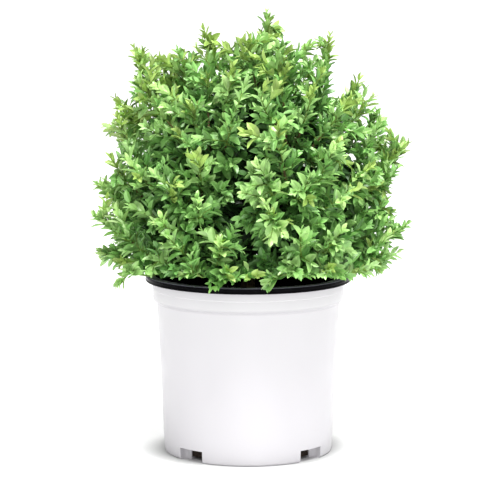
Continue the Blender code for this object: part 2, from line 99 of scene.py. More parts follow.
RIM_LOW, RIM_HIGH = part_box("pot_rim")
TRUNK_LOW, TRUNK_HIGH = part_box("trunk")
POT_HEIGHT = RIM_HIGH.z
RIM_RADIUS = RIM_HIGH.x
SKIRT_BOTTOM = RIM_LOW.z
COLLAR_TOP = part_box("pot")[1].z
SOIL_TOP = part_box("potting_mix")[1].z
FORK = Vector((0.003, 0.0, TRUNK_HIGH.z))
FOOT = Vector((-0.001, 0.001, TRUNK_LOW.z))

FOLIAGE = [name for name in frame["nodes"] if name.startswith("foliage_")]
LIMBS = [name for name in frame["nodes"] if name.startswith(("leader", "bough_", "branch_"))]

# ---- the pot's and the mix's sizes

WALL = 0.0015
FLOOR = 0.0025
FOOT_RADIUS = 0.0964
FOOT_ROUND = 0.003
# The foot's underside is hollow within a ring that the pot stands on
HOLLOW = 0.0006
HOLLOW_INSET = 0.016
RING_INSET = 0.014
BODY_TOP_RADIUS = 0.1046
BODY_LEVELS = 7
BODY_WAIST = 0.0004
COLLAR_RADIUS = 0.1091
COLLAR_FOOT_Z = 0.1751
COLLAR_STEP = 0.0025
# The step out to the collar: (share of the way out, height in steps above the collar's foot)
COLLAR_CURVE = ((0.0, -1.0), (0.18, -0.55), (0.75, -0.1), (0.94, 0.35), (1.0, 1.0))
BAND_Z = 0.1880
BAND_STEP = 0.0005
SCOOPS = 4
FIRST_SCOOP = math.radians(-42.4)
SCOOP_WIDTH = 0.034
SCOOP_DEPTH = 0.012
SCOOP_HEIGHT = 0.0137
SCOOP_CORNER = 0.0075
DRAIN_WIDTH = 0.019
DRAIN_DEPTH = 0.014
DRAIN_TOP = 0.0133

RIM_DEPTH = 0.007
RIM_THICKNESS = 0.0016
RIM_ROLL = 0.0018
RIM_GROOVE = 0.0006
RIM_LEDGE = 0.0004
SKIRT_THICKNESS = 0.0012
SKIRT_FIT = 0.0003

SOIL_DROP = 0.004
SOIL_FLAT_RADIUS = 0.022
# Where crumbs lie: (radius from the stem's foot out, share of the drop there)
SOIL_EDGE = BODY_TOP_RADIUS - WALL - 0.004
SOIL_PROFILE = ((0.014, 0.0), (SOIL_FLAT_RADIUS, 0.0), (0.6 * SOIL_EDGE, 0.3), (SOIL_EDGE, 1.0))
CRUMB_ROUGH = (0.72, 1.05)
CRUMB_NARROW = 0.62

# ---- the plant's sizes

MEETING_GAP = 0.0004
CLEARANCE = 0.0008
GUARD_SIDES = 6
PROBE_SIDES = 3

# Trunk and limbs
TRUNK_FOOT_RADIUS = 0.0105
# (share of the way up to the fork, share of the foot's radius)
TRUNK_SHAPE = ((0.0, 1.0), (0.16, 0.80), (0.42, 0.66), (0.78, 0.67), (1.0, 0.72))
TRUNK_LEVELS = 22
TRUNK_SIDES = 30
# The bark's ridges are raised from a tube a little thinner than the solid trunk
BARK_WITHIN = 0.97
ROOT_LOBES = 5
ROOT_FLARE = 0.13
# The bark is a noise on a cylinder: how wide it is there and how far it is drawn out, the
# fineness of its ridges and cracks, the cracks' share, and how far each limb's is moved on
BARK_GIRTH = 1.6
BARK_STRETCH = 0.16
BARK_RIDGES = 1.7
BARK_CRACKS = 4.1
CRACK_SHARE = 0.5
BARK_SHIFT = 3.7
LEADER_RADIUS = 0.0040
BOUGH_RADIUS = 0.0034
BRANCH_RADIUS = 0.0025
LIMB_TAPER = 0.62
LIMB_POINTS = 14
LIMB_BEND = 0.35
LIMB_SIDES = 10
LIMB_RING = 0.004
# A limb's mesh starts inside what bears it and swells where they meet
LIMB_SUNK = 1.2
LIMB_SWELL = 1.12
LIMB_SWELL_AFTER = 1.06
COLLAR_SHARE = 1.5
ENTRY_SHARE = 0.40
# A limb leaves the trunk sideways where its way is at least so level
SIDEWAYS = 0.3
UPPER_START = 0.24
UPPER_STEP = 0.12
LOWER_START = 0.5
LOWER_STEP = 0.2
TAKEN_PENALTY = 0.2

# Crown
CROWN_SEED = 41
SIDE_REACH = 0.172
TOP_REACH = 0.283
SKIRT_SLOPE = 0.16
LOWEST_TIP = 0.193
LOWEST_LEAF = 0.186
SIDE_HEM = 0.202
FRONT_HEM = 0.217
BACK_HEM = 0.206
HEM_WAVE = 0.012
HEM_WAVES = 5.0
# Tips of the sprigs that hang in front of the rim
HANGING = [
    Vector(tip) for tip in (
        (-0.037, -0.142, 0.205), (0.020, -0.142, 0.206), (-0.147, -0.055, 0.194),
    )
]
HANGING_WIDTH = 0.011
HANGING_DROP = 0.003
# Dips of the outline seen from in front: (angle from +X in degrees, half width, depth), where
# a negative depth is a bulge
DIPS = (
    (10.0, 3.0, 0.07), (27.0, 7.0, 0.10), (49.0, 7.0, 0.06), (65.0, 5.0, 0.18),
    (77.0, 6.0, 0.06), (97.0, 9.0, 0.10), (107.0, 3.5, 0.05), (117.0, 4.0, -0.04),
    (145.0, 5.0, 0.08), (162.0, 5.0, 0.08), (171.0, 3.0, 0.06),
)
LOBES = 5
LOBE_TWIST = 3.0
LOBE_DEPTH = 0.03
RAGGED = 0.04
RINGS = (
    # name, masses, elevation, first azimuth
    ("top", 1, 86.0, 20.0),
    ("upper", 5, 60.0, 15.0),
    ("middle", 6, 34.0, -4.0),
    ("lower", 7, 6.0, -8.0),
)
AZIMUTH_SHAKE = 4.0
ELEVATION_SHAKE = 2.0
# Tips of the shoots that stand out of the crown
LONG_SHOOTS = [
    Vector(tip) for tip in (
        (0.0215, 0.010, 0.5066), (-0.052, 0.020, 0.486), (0.094, 0.020, 0.479),
        (-0.132, 0.030, 0.464), (0.129, 0.020, 0.429), (-0.154, 0.020, 0.405),
        (0.187, -0.010, 0.361), (-0.179, -0.015, 0.313), (0.168, -0.020, 0.322),
        (-0.180, -0.045, 0.280), (0.188, -0.015, 0.268), (-0.176, -0.040, 0.236),
        (0.171, -0.030, 0.228), (-0.147, -0.055, 0.194),
    )
]
# Tips of lesser sprigs at the crown's outline
SPRIGS = [
    Vector(tip) for tip in (
        (-0.1305, 0.015, 0.431), (-0.124, 0.020, 0.464), (-0.105, 0.010, 0.455),
        (-0.090, 0.015, 0.452), (-0.074, 0.010, 0.459), (-0.059, 0.010, 0.462),
        (0.040, 0.010, 0.486), (0.083, 0.010, 0.474), (0.145, 0.000, 0.390),
        (-0.165, 0.000, 0.380), (0.151, -0.030, 0.206), (0.157, 0.000, 0.371),
        (-0.100, -0.020, 0.439), (-0.092, 0.020, 0.441), (-0.085, -0.005, 0.434),
        (-0.154, 0.000, 0.368), (-0.168, -0.010, 0.320), (-0.004, 0.020, 0.471),
        (0.047, -0.010, 0.473), (0.074, 0.010, 0.474), (0.115, 0.000, 0.412),
        (0.166, -0.005, 0.368), (0.163, 0.010, 0.328), (0.172, 0.000, 0.275),
        (0.140, -0.020, 0.210),
    )
]

# Twigs of the first order
SIDE_TWIGS = 6
FIRST_TWIG = 0.08
TWIG_RANGE = 0.45
GOLDEN_SHARE = 0.618
OUTER_FAN = math.radians(18.5)
INNER_FAN = math.radians(15.0)
FAN_SHAKE = 0.2
FAN_SPREAD = (0.9, 1.1)
STEM_RADIUS = 0.0021
TWIG_RADIUS = 0.0016
TWIG_POINTS = 9
TIP_TAPER = 0.6
TWIG_BEND = 0.5
TIP_LIFT = 0.25
TIP_DROOP = -0.6
TIP_ALLOWANCE = 0.048
# How much of the allowance is grown here: by long shoots, by those of them whose target is near
# the side of the whole's box, and by other twigs, which stay further back in the dips
LONG_SHARE = 0.86
EDGE_SHARE = 0.78
EDGE = 0.165
USUAL_SHARE = 0.66
DIP_PULL = 4.0
TWIG_OVER_HEM = 0.004
TWIG_END = 0.35

# Finer shoots: their tips turn by the golden angle from the top down, a little closer at the
# top, and their depths step through their range by a share that spreads them evenly
GOLDEN_ANGLE = math.pi * (3.0 - math.sqrt(5.0))
TURN_SHAKE = 0.05
LOWEST_RISE = -0.30
TOP_CROWDING = 1.3
DEPTH_RANGE = 0.46
DEPTH_STEP = 0.7549
DEPTH_SHAKE = 0.12
# One shoot in so many has its tip inside the crown instead, in this range of its reach
INNER_EVERY = 4
INNER_RANGE = (0.42, 0.72)
# Hollows: shoots of the outer shell that face front or back above the fork are cut shorter
# where a noise of their direction is low
OPEN_SHARE = 0.86
OPEN_SCALE = 7.0
OPEN_BELOW = -0.08
OPEN_DEPTH = 0.84
OPEN_FACING = 0.32
OPEN_RISE = 0.1
# The airy skirt at the left and right has half as many shoots
THIN_BEYOND = 0.72
THIN_BELOW = 0.10
SHOOT_ROOM = 0.006
# Tufts along the ends of long shoots and sprigs: (their tips, shoots in each tuft, nearest and
# farthest of these behind the tip, width of the tuft)
TUFTS = ((LONG_SHOOTS, 8, 0.011, 0.036, 0.011), (SPRIGS, 3, 0.004, 0.021, 0.008))
TUFT_POINT = 0.35
TUFT_SHARE = 0.96
# Where a shoot leaves its twig: spacing of the places, how near and far they may be from its
# tip, and what a turn and each shoot that is there already cost
ROOT_SPACING = 0.006
ROOT_NEAREST = 0.018
ROOT_FARTHEST = 0.085
ROOT_TURN = 1.6
ROOT_CROWDING = 0.012
# The stretch of a twig and of a shoot that bears shoots
TWIG_BEARS = (0.10, 0.92)
SHOOT_BEARS = (0.35, 0.75)
SHOOT_POINTS = 6
SHOOT_ALLOWANCE = 0.006
SHOOT_END = 0.55
LEAF_ROOM = 0.010
GREEN_LENGTH = 0.055


# ---- settings


def colour_property(label, about, default):
    return FloatVectorProperty(
        name=label, description=about, default=default, subtype="COLOR", size=3, min=0.0, max=1.0
    )


def length_property(label, about, default):
    return FloatProperty(name=label, description=about, default=default, min=0.0, unit="LENGTH")


class PotSettings(bpy.types.PropertyGroup):
    sides: IntProperty(
        name="Sides", description="Steps round the turned pot and rim", default=144, min=24
    )
    white: colour_property("White", "Colour of the pot's outside", (0.585, 0.572, 0.595))
    black: colour_property("Black", "Colour of the rim and the inside", (0.007, 0.0065, 0.0085))


class MixSettings(bpy.types.PropertyGroup):
    brown: colour_property("Brown", "Colour of the potting mix", (0.030, 0.020, 0.014))
    crumb_spacing: length_property("Crumb spacing", "Least distance between two crumbs", 0.0032)
    crumb_size: length_property("Crumb size", "Length of the largest crumb", 0.0085)


class BarkSettings(bpy.types.PropertyGroup):
    light: colour_property("Light bark", "Colour of the ridges of the bark", (0.23, 0.165, 0.10))
    dark: colour_property("Dark bark", "Colour of the cracks of the bark", (0.060, 0.040, 0.025))
    relief: FloatProperty(
        name="Relief", description="Depth of the bark as a share of the radius", default=0.13,
        min=0.0, max=0.4,
    )


class TwigSettings(bpy.types.PropertyGroup):
    shoots: IntProperty(
        name="Shoots", description="Fine shoots that the crown has room for", default=3850, min=10
    )
    radius: length_property("Shoot radius", "Radius of a shoot where it leaves its twig", 0.0008)
    brown: colour_property("Twig", "Colour of last year's wood", (0.17, 0.125, 0.055))
    green: colour_property("Shoot", "Colour of this year's shoots", (0.17, 0.26, 0.055))


class LeafSettings(bpy.types.PropertyGroup):
    length: length_property("Leaf length", "Length of a full-grown leaf", 0.0185)
    spacing: length_property("Leaf spacing", "Distance between two pairs on a shoot", 0.0098)
    young: colour_property("Young", "Colour of the newest tips, up high", (0.325, 0.465, 0.125))
    # The tints below run from pale to dark. Besides age and chance, they hold painted light on high
    # outer leaves and painted shade on leaves deep in the crown
    bright: colour_property("Bright", "Colour of leaves on lively sprays", (0.425, 0.630, 0.230))
    fresh: colour_property("Fresh", "Colour of leaves just grown", (0.330, 0.540, 0.190))
    full: colour_property("Full", "Colour of full-grown leaves", (0.236, 0.450, 0.138))
    deep: colour_property("Deep", "Colour of older sprays", (0.134, 0.296, 0.082))
    dark: colour_property("Dark", "Colour of leaves behind the outer sprays", (0.040, 0.106, 0.028))
    shaded: colour_property("Shaded", "Colour of leaves within the crown", (0.018, 0.054, 0.011))


class StageSettings(bpy.types.PropertyGroup):
    floor_radius: length_property("Floor radius", "Radius of the round floor", 90.0)
    key: FloatProperty(
        name="Key", description="Power of the soft light above the plant", default=63.0,
        min=0.0, unit="POWER",
    )
    side: FloatProperty(
        name="Side", description="Power of the soft light in front of the plant", default=8.0,
        min=0.0, unit="POWER",
    )
    surround: FloatProperty(
        name="Surround", description="Strength of the white surround", default=0.62, min=0.0
    )


class BoxwoodSettings(bpy.types.PropertyGroup):
    pot: PointerProperty(type=PotSettings)
    mix: PointerProperty(type=MixSettings)
    bark: PointerProperty(type=BarkSettings)
    twigs: PointerProperty(type=TwigSettings)
    leaves: PointerProperty(type=LeafSettings)
    stage: PointerProperty(type=StageSettings)


# ---- meshes and objects


def link(name, data):
    made = bpy.data.objects.new(name, data)
    bpy.context.scene.collection.objects.link(made)
    return made


def object_from(name, work):
    """An object from a bmesh, which is freed."""
    mesh = bpy.data.meshes.new(name)
    work.to_mesh(mesh)
    work.free()
    return link(name, mesh)


def smooth(mesh, sharp_angle):
    mesh.shade_smooth()
    mesh.set_sharp_from_angle(angle=math.radians(sharp_angle))


def dress(thing, slot, *nodes):
    """Sets a finished piece on the plant's body and hides the CAD nodes that it stands for."""
    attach(thing, BODY)
    if nodes:
        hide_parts(*nodes)
    return thing


def combine(body, others, operation):
    """One Boolean of the body with all the others, applied. The others are removed."""
    group = bpy.data.collections.new(body.name + "_others")
    bpy.context.scene.collection.children.link(group)
    for other in others:
        bpy.context.scene.collection.objects.unlink(other)
        group.objects.link(other)
    boolean = body.modifiers.new("combine", "BOOLEAN")
    boolean.operation = operation
    boolean.operand_type = "COLLECTION"
    boolean.collection = group
    boolean.solver = "EXACT"
    graph = bpy.context.evaluated_depsgraph_get()
    joined = bpy.data.meshes.new_from_object(body.evaluated_get(graph))
    body.modifiers.clear()
    body.data = joined
    for other in others:
        bpy.data.objects.remove(other)
    bpy.data.collections.remove(group)
    return body


def turned(name, profile, sides, closed=False):
    """A profile of (radius, height) points spun about Z; a closed profile makes a ring."""
    work = bmesh.new()
    points = [work.verts.new((radius, 0.0, height)) for radius, height in profile]
    for low, high in zip(points, points[1:]):
        work.edges.new((low, high))
    if closed:
        work.edges.new((points[-1], points[0]))
    bmesh.ops.spin(
        work,
        geom=work.verts[:] + work.edges[:],
        cent=(0.0, 0.0, 0.0),
        axis=UP,
        angle=2.0 * math.pi,
        steps=sides,
        use_merge=True,
    )
    bmesh.ops.remove_doubles(work, verts=work.verts, dist=1e-6)
    bmesh.ops.recalc_face_normals(work, faces=work.faces)
    return object_from(name, work)


def prism(name, outline, low, high):
    """An outline of (x, y) points, extruded from one height to another."""
    work = bmesh.new()
    floor = work.faces.new([work.verts.new((x, y, low)) for x, y in outline])
    raised = bmesh.ops.extrude_face_region(work, geom=[floor], use_keep_orig=True)
    lifted = [v for v in raised["geom"] if isinstance(v, bmesh.types.BMVert)]
    bmesh.ops.translate(work, verts=lifted, vec=(0.0, 0.0, high - low))
    bmesh.ops.recalc_face_normals(work, faces=work.faces)
    return object_from(name, work)


def arc(centre, radius, first, last, count):
    """(radius, height) points along part of a circle, from one angle to another in degrees."""
    x, z = centre
    turns = [math.radians(first + (last - first) * k / (count - 1)) for k in range(count)]
    return [(x + radius * math.cos(turn), z + radius * math.sin(turn)) for turn in turns]


def swept(points, radii, sides, first=None, relief=None):
    """Vertices and faces of a closed tube along points, with flat ends.

    The first end is square to the direction called first, or to its own segment. A relief
    is a function of (ring, turn) that gives a share to add to the radius.
    """
    last = len(points) - 1
    first = first or points[1] - points[0]
    across = first.orthogonal().normalized()
    vertices, faces = [], []
    for k, (point, radius) in enumerate(zip(points, radii)):
        tangent = points[min(k + 1, last)] - points[max(k - 1, 0)] if k else first
        tangent = tangent.normalized()
        across = (across - across.dot(tangent) * tangent).normalized()
        other = tangent.cross(across)
        for side in range(sides):
            turn = 2.0 * math.pi * side / sides
            offset = math.cos(turn) * across + math.sin(turn) * other
            grown = radius * (1.0 + relief(k, turn)) if relief else radius
            vertices.append(point + grown * offset)
    for ring in range(last):
        for side in range(sides):
            low = ring * sides + side
            after = ring * sides + (side + 1) % sides
            faces.append([low, after, after + sides, low + sides])
    faces.append(list(range(sides))[::-1])
    faces.append(list(range(last * sides, (last + 1) * sides)))
    return vertices, faces


def joined(name, shapes):
    """One object from many (vertices, faces) shapes."""
    vertices, faces = [], []
    for points, polygons in shapes:
        start = len(vertices)
        vertices.extend(points)
        faces.extend([[start + corner for corner in polygon] for polygon in polygons])
    mesh = bpy.data.meshes.new(name)
    mesh.from_pydata(vertices, [], faces)
    return link(name, mesh)


def curve(start, middle, end, count):
    """Points along the curve that leaves start towards middle and comes to end from it."""
    shares = [k / (count - 1) for k in range(count)]
    return [(1 - t) ** 2 * start + 2 * t * (1 - t) * middle + t * t * end for t in shares]


def taper(radius, end_share, count):
    return [radius * (1.0 - (1.0 - end_share) * k / (count - 1)) for k in range(count)]


# ---- geometry trees


def geometry_tree(name, inputs):
    """A geometry tree and the sockets of its inputs.

    Each input is (name, socket type, default), where a default of None is left unset.
    """
    tree = bpy.data.node_groups.new(name, "GeometryNodeTree")
    tree.interface.new_socket("Geometry", in_out="INPUT", socket_type="NodeSocketGeometry")
    for label, kind, default in inputs:
        socket = tree.interface.new_socket(label, in_out="INPUT", socket_type=kind)
        if default is not None:
            socket.default_value = default
    tree.interface.new_socket("Geometry", in_out="OUTPUT", socket_type="NodeSocketGeometry")
    return tree, tree.nodes.new("NodeGroupInput").outputs


def node(tree, kind, links=None, **settings):
    """A node of a tree, with its settings and the sockets or values of its named inputs."""
    made = tree.nodes.new(kind)
    for key, value in settings.items():
        setattr(made, key, value)
    for key, source in (links or {}).items():
        if isinstance(source, bpy.types.NodeSocket):
            tree.links.new(source, made.inputs[key])
        else:
            made.inputs[key].default_value = source
    return made


def attribute(tree, name, kind):
    """The socket of a named attribute."""
    read = node(tree, "GeometryNodeInputNamedAttribute", {"Name": name}, data_type=kind)
    return read.outputs["Attribute"]


def scaled(tree, name, factor):
    """The socket of a named number attribute times a factor."""
    sockets = {0: attribute(tree, name, "FLOAT"), 1: factor}
    return node(tree, "ShaderNodeMath", sockets, operation="MULTIPLY").outputs["Value"]


def finish_tree(tree, geometry, material):
    """Ends a tree: what it made is real geometry and has one material."""
    real = node(tree, "GeometryNodeRealizeInstances", {"Geometry": geometry})
    sockets = {"Geometry": real.outputs["Geometry"], "Material": material}
    finish = node(tree, "GeometryNodeSetMaterial", sockets)
    node(tree, "NodeGroupOutput", {"Geometry": finish.outputs["Geometry"]})
    return tree


def grown_mesh(thing, tree, values):
    """The plain mesh that a tree makes of an object. The object is removed."""
    modifier = thing.modifiers.new(tree.name, "NODES")
    modifier.node_group = tree
    for item in tree.interface.items_tree:
        if item.in_out == "INPUT" and item.name in values:
            modifier[item.identifier] = values[item.name]
    graph = bpy.context.evaluated_depsgraph_get()
    mesh = bpy.data.meshes.new_from_object(thing.evaluated_get(graph))
    name = thing.name
    bpy.data.objects.remove(thing)
    mesh.name = name
    return link(name, mesh)


# ---- materials


BLACK = (0.0, 0.0, 0.0)
WHITE = (1.0, 1.0, 1.0)
# Painted shade: the share of the white that is left in the band under the collar's step
COLLAR_PAINTED_SHADE = 0.77
# The painted highlight along the crest of the rim's roll: where it starts and is full below the
# top, and how many times paler it is painted
CREST_START = 0.0013
CREST_FULL = 0.0005
CREST_PAINTED_HIGHLIGHT = 32.0


class Look:
    """A procedural material under construction, on the piece's Object coordinates."""

    def __init__(self, name, roughness):
        self.material = bpy.data.materials.new(name)
        self.material.use_nodes = True
        self.tree = self.material.node_tree
        self.shader = self.tree.nodes["Principled BSDF"]
        self.shader.inputs["Roughness"].default_value = roughness
        self.place = self.tree.nodes.new("ShaderNodeTexCoord").outputs["Object"]

    def stretched(self, scale):
        """The Object coordinates stretched by a scale for each axis."""
        mapping = node(self.tree, "ShaderNodeMapping", {"Vector": self.place, "Scale": scale})
        return mapping.outputs["Vector"]

    def noise(self, scale, detail=3.0, roughness=0.55, place=None):
        sockets = {
            "Vector": place or self.place, "Scale": scale, "Detail": detail, "Roughness": roughness,
        }
        return node(self.tree, "ShaderNodeTexNoise", sockets).outputs["Fac"]

    def spread(self, value, low, high):
        """A noise value spread from its usual range to the range from low to high."""
        sockets = {"Value": value, "From Min": 0.3, "From Max": 0.7, "To Min": low, "To Max": high}
        return node(self.tree, "ShaderNodeMapRange", sockets).outputs["Result"]

    def ramp(self, value, stops):
        """A colour for each stop of (place, colour)."""
        made = node(self.tree, "ShaderNodeValToRGB", {"Fac": value})
        elements = made.color_ramp.elements
        while len(elements) < len(stops):
            elements.new(0.5)
        for element, (place, colour) in zip(elements, stops):
            element.position = place
            element.color = (*colour, 1.0)
        return made.outputs["Color"]

    def height(self, low, high):
        """How far up the Object coordinates are between two heights, from 0 to 1."""
        up = node(self.tree, "ShaderNodeSeparateXYZ", {"Vector": self.place}).outputs["Z"]
        sockets = {"Value": up, "From Min": low, "From Max": high}
        return node(self.tree, "ShaderNodeMapRange", sockets).outputs["Result"]

    def mixed(self, share, first, second):
        """The first colour changed to the second by a share."""
        # A Mix node's sockets share their names: 0 is its share, and 6 and 7 are its colours
        made = node(
            self.tree, "ShaderNodeMix", {0: share, 6: first, 7: (*second, 1.0)}, data_type="RGBA"
        )
        return made.outputs[2]

    def set(self, **values):
        """Sets plain numbers on the shader, by its sockets' names with _ for a space."""
        for name, value in values.items():
            self.shader.inputs[name.replace("_", " ")].default_value = value

    def colour(self, socket):
        self.tree.links.new(socket, self.shader.inputs["Base Color"])

    def roughness(self, socket):
        self.tree.links.new(socket, self.shader.inputs["Roughness"])

    def bump(self, height, strength, distance):
        sockets = {"Height": height, "Strength": strength, "Distance": distance}
        made = node(self.tree, "ShaderNodeBump", sockets)
        self.tree.links.new(made.outputs["Normal"], self.shader.inputs["Normal"])


def shade(colour, factor):
    return tuple(min(1.0, channel * factor) for channel in colour)


def white_plastic(colour):
    """White moulded plastic: a soft gloss, faint flow marks and a band of painted shade under the
    collar.
    """
    look = Look("white_pot_plastic", 0.36)
    flow = look.noise(9.0, place=look.stretched((1.0, 1.0, 0.35)))
    plain = look.ramp(flow, ((0.35, shade(colour, 0.985)), (0.65, shade(colour, 1.01))))
    # Painted shade: a band under the collar's step is darkened, where the crease would fall in
    # shade
    crease = look.height(COLLAR_FOOT_Z - 2.0 * COLLAR_STEP, COLLAR_FOOT_Z + COLLAR_STEP)
    painted_shade_band = look.ramp(crease, ((0.1, BLACK), (0.45, WHITE), (0.75, WHITE), (1.0, BLACK)))
    look.colour(look.mixed(painted_shade_band, plain, shade(colour, COLLAR_PAINTED_SHADE)))
    look.roughness(look.spread(look.noise(55.0), 0.31, 0.42))
    look.bump(look.noise(420.0, 4.0), strength=0.06, distance=0.0002)
    return look.material


def black_plastic(colour):
    """Black moulded plastic, scuffed greyer in places, with a painted highlight along the rim's
    crest.
    """
    look = Look("black_pot_plastic", 0.24)
    look.set(Specular_IOR_Level=0.045)
    scuff = look.noise(70.0, 5.0)
    plain = look.ramp(scuff, ((0.40, shade(colour, 0.6)), (0.75, shade(colour, 1.2))))
    # Painted highlight: the crest of the rim's roll is coloured many times paler
    crest = look.height(POT_HEIGHT - CREST_START, POT_HEIGHT - CREST_FULL)
    look.colour(look.mixed(crest, plain, shade(colour, CREST_PAINTED_HIGHLIGHT)))
    look.roughness(look.spread(look.noise(120.0), 0.14, 0.26))
    look.bump(look.noise(650.0, 4.0), strength=0.10, distance=0.0002)
    return look.material


def mix_material(colour):
    """Damp potting mix: dark crumbs with paler fibres and a broken surface."""
    look = Look("damp_potting_mix", 0.92)
    crumbs = look.noise(260.0, 6.0, 0.65)
    stops = ((0.35, shade(colour, 0.45)), (0.52, colour), (0.70, shade(colour, 2.4)))
    look.colour(look.ramp(crumbs, stops))
    look.bump(crumbs, strength=0.7, distance=0.0012)
    return look.material


def chip_material(colour):
    """Bark chips and crumbs, redder and drier than the mix they lie on."""
    look = Look("bark_chips", 0.85)
    tone = look.noise(95.0, 4.0)
    red = (colour[0] * 2.6, colour[1] * 1.9, colour[2] * 1.5)
    look.colour(look.ramp(tone, ((0.35, shade(colour, 0.7)), (0.55, red), (0.7, shade(red, 1.7)))))
    look.bump(look.noise(900.0, 4.0), strength=0.5, distance=0.0006)
    return look.material


def grit_material():
    """White volcanic grit, chalky and pitted."""
    look = Look("white_grit", 0.8)
    tone = look.noise(300.0)
    look.colour(look.ramp(tone, ((0.35, (0.42, 0.41, 0.38)), (0.65, (0.70, 0.69, 0.66)))))
    look.bump(look.noise(1400.0), strength=0.5, distance=0.0004)
    return look.material


def bark_material(name, light, dark, scale):
    """Furrowed bark, pale on the ridges and dark in the cracks."""
    look = Look(name, 0.82)
    streak = look.noise(scale, 6.0, 0.62, look.stretched((1.0, 1.0, 0.4)))
    fleck = look.noise(scale * 4.0, 4.0)
    look.colour(look.ramp(streak, ((0.38, dark), (0.55, light), (0.72, shade(light, 1.35)))))
    look.roughness(look.spread(fleck, 0.70, 0.92))
    look.bump(streak, strength=0.6, distance=0.0008)
    return look.material


def leaf_material(name, colour, roughness):
    """A leathery leaf with a soft shine, a little uneven in its green."""
    look = Look(name, roughness)
    look.set(Specular_IOR_Level=0.65, Sheen_Weight=0.03, Sheen_Roughness=0.45)
    tone = look.noise(60.0, 2.0)
    stops = ((0.32, shade(colour, 0.66)), (0.50, colour), (0.68, shade(colour, 1.26)))
    look.colour(look.ramp(tone, stops))
    look.roughness(look.spread(look.noise(160.0), roughness - 0.05, roughness + 0.06))
    look.bump(look.noise(1100.0), strength=0.12, distance=0.0003)
    return look.material


# ---- the growing rule


def heading(azimuth, elevation):
    """The unit vector at an azimuth and an elevation in degrees."""
    around, rise = math.radians(azimuth), math.radians(elevation)
    level = math.cos(rise)
    return Vector((level * math.cos(around), level * math.sin(around), math.sin(rise)))


def crown_reach(direction):
    """How far the crown goes from the fork: a dome with shallow lobes that droops below."""
    rise = direction.z
    dome = SIDE_REACH + (TOP_REACH - SIDE_REACH) * rise * rise
    if rise < 0.0:
        dome = SIDE_REACH + SKIRT_SLOPE * rise
    around = math.atan2(direction.y, direction.x)
    return dome * (1.0 + LOBE_DEPTH * math.sin(LOBES * around + LOBE_TWIST * rise))


def mass_directions():
    """(ring, direction) of each mass of foliage, ring by ring from the top down."""
    shaker = random.Random(CROWN_SEED)
    found = []
    for ring, count, elevation, first in RINGS:
        for k in range(count):
            azimuth = first + 360.0 * k / count + shaker.uniform(-AZIMUTH_SHAKE, AZIMUTH_SHAKE)
            rise = elevation + shaker.uniform(-ELEVATION_SHAKE, ELEVATION_SHAKE)
            found.append((ring, heading(azimuth, rise)))
    return found


class Limb:
    """One tapering limb of the frame."""

    def __init__(self, name, points, radius):
        self.name = name
        self.points = points
        self.radii = taper(radius, LIMB_TAPER, len(points))
        wide = [r + CLEARANCE for r in self.radii]
        self.guard = BVHTree.FromPolygons(*swept(points, wide, GUARD_SIDES))

    def end_direction(self):
        return (self.points[-1] - self.points[-2]).normalized()

    def at(self, share):
        """(point, direction, radius) at a share of the way along."""
        place = share * (len(self.points) - 1)
        k = min(int(place), len(self.points) - 2)
        along = self.points[k + 1] - self.points[k]
        radius = self.radii[k] + (place - k) * (self.radii[k + 1] - self.radii[k])
        return self.points[k] + (place - k) * along, along.normalized(), radius


def limb_line(start, away, end, radius):
    """A limb's line: straight away from what bears it, and then a bend to its mass."""
    collar = start + COLLAR_SHARE * radius * away
    middle = collar + LIMB_BEND * (end - collar).length * away
    return [start] + curve(collar, middle, end, LIMB_POINTS - 1)


def limb_from_trunk(name, direction, entry, radius):
    """A bough that leaves the trunk's head sideways, or on top, and bends to its mass."""
    end = FORK + entry * direction
    start = FORK + MEETING_GAP * UP
    away = UP
    level = Vector((direction.x, direction.y, 0.0))
    if level.length > SIDEWAYS:
        away = level.normalized()
        start = FORK + (TRUNK_SHAPE[-1][1] * TRUNK_FOOT_RADIUS + MEETING_GAP) * away
        start.z -= radius + MEETING_GAP
    return Limb(name, limb_line(start, away, end, radius), radius)


def limb_from_limb(name, parent, share, direction, entry, radius):
    """A branch that leaves its parent's side at right angles and bends to its mass."""
    point, along, parent_radius = parent.at(share)
    end = FORK + entry * direction
    side = end - point
    side = (side - side.dot(along) * along).normalized()
    start = point + (parent_radius + MEETING_GAP) * side
    return Limb(name, limb_line(start, side, end, radius), radius)


def grow_limbs(masses):
    """The limb that ends at each mass, in the order of the masses.

    The leader and the middle ring's boughs come from the trunk. The upper ring's branches
    leave the leader, and the lower ring's leave the nearest bough.
    """
    limbs = {}
    rings = {name: [] for name, *_ in RINGS}
    for k, (ring, _) in enumerate(masses):
        rings[ring].append(k)

    def goal(k):
        direction = masses[k][1]
        return direction, ENTRY_SHARE * crown_reach(direction)

    for k in rings["top"]:
        limbs[k] = limb_from_trunk("leader", *goal(k), LEADER_RADIUS)
    for order, k in enumerate(rings["middle"]):
        limbs[k] = limb_from_trunk(f"bough_{order + 1}", *goal(k), BOUGH_RADIUS)
    leader = limbs[rings["top"][0]]
    branches = 0
    for order, k in enumerate(rings["upper"]):
        branches += 1
        share = UPPER_START + UPPER_STEP * (2 * order % len(rings["upper"]))
        limbs[k] = limb_from_limb(f"branch_{branches}", leader, share, *goal(k), BRANCH_RADIUS)
    used = {}
    for k in rings["lower"]:
        branches += 1
        direction = masses[k][1]
        near = max(
            rings["middle"],
            key=lambda m: masses[m][1].dot(direction) - TAKEN_PENALTY * used.get(m, 0),
        )
        share = LOWER_START - LOWER_STEP * used.get(near, 0)
        used[near] = used.get(near, 0) + 1
        limbs[k] = limb_from_limb(f"branch_{branches}", limbs[near], share, *goal(k), BRANCH_RADIUS)
    return [limbs[k] for k in range(len(masses))]


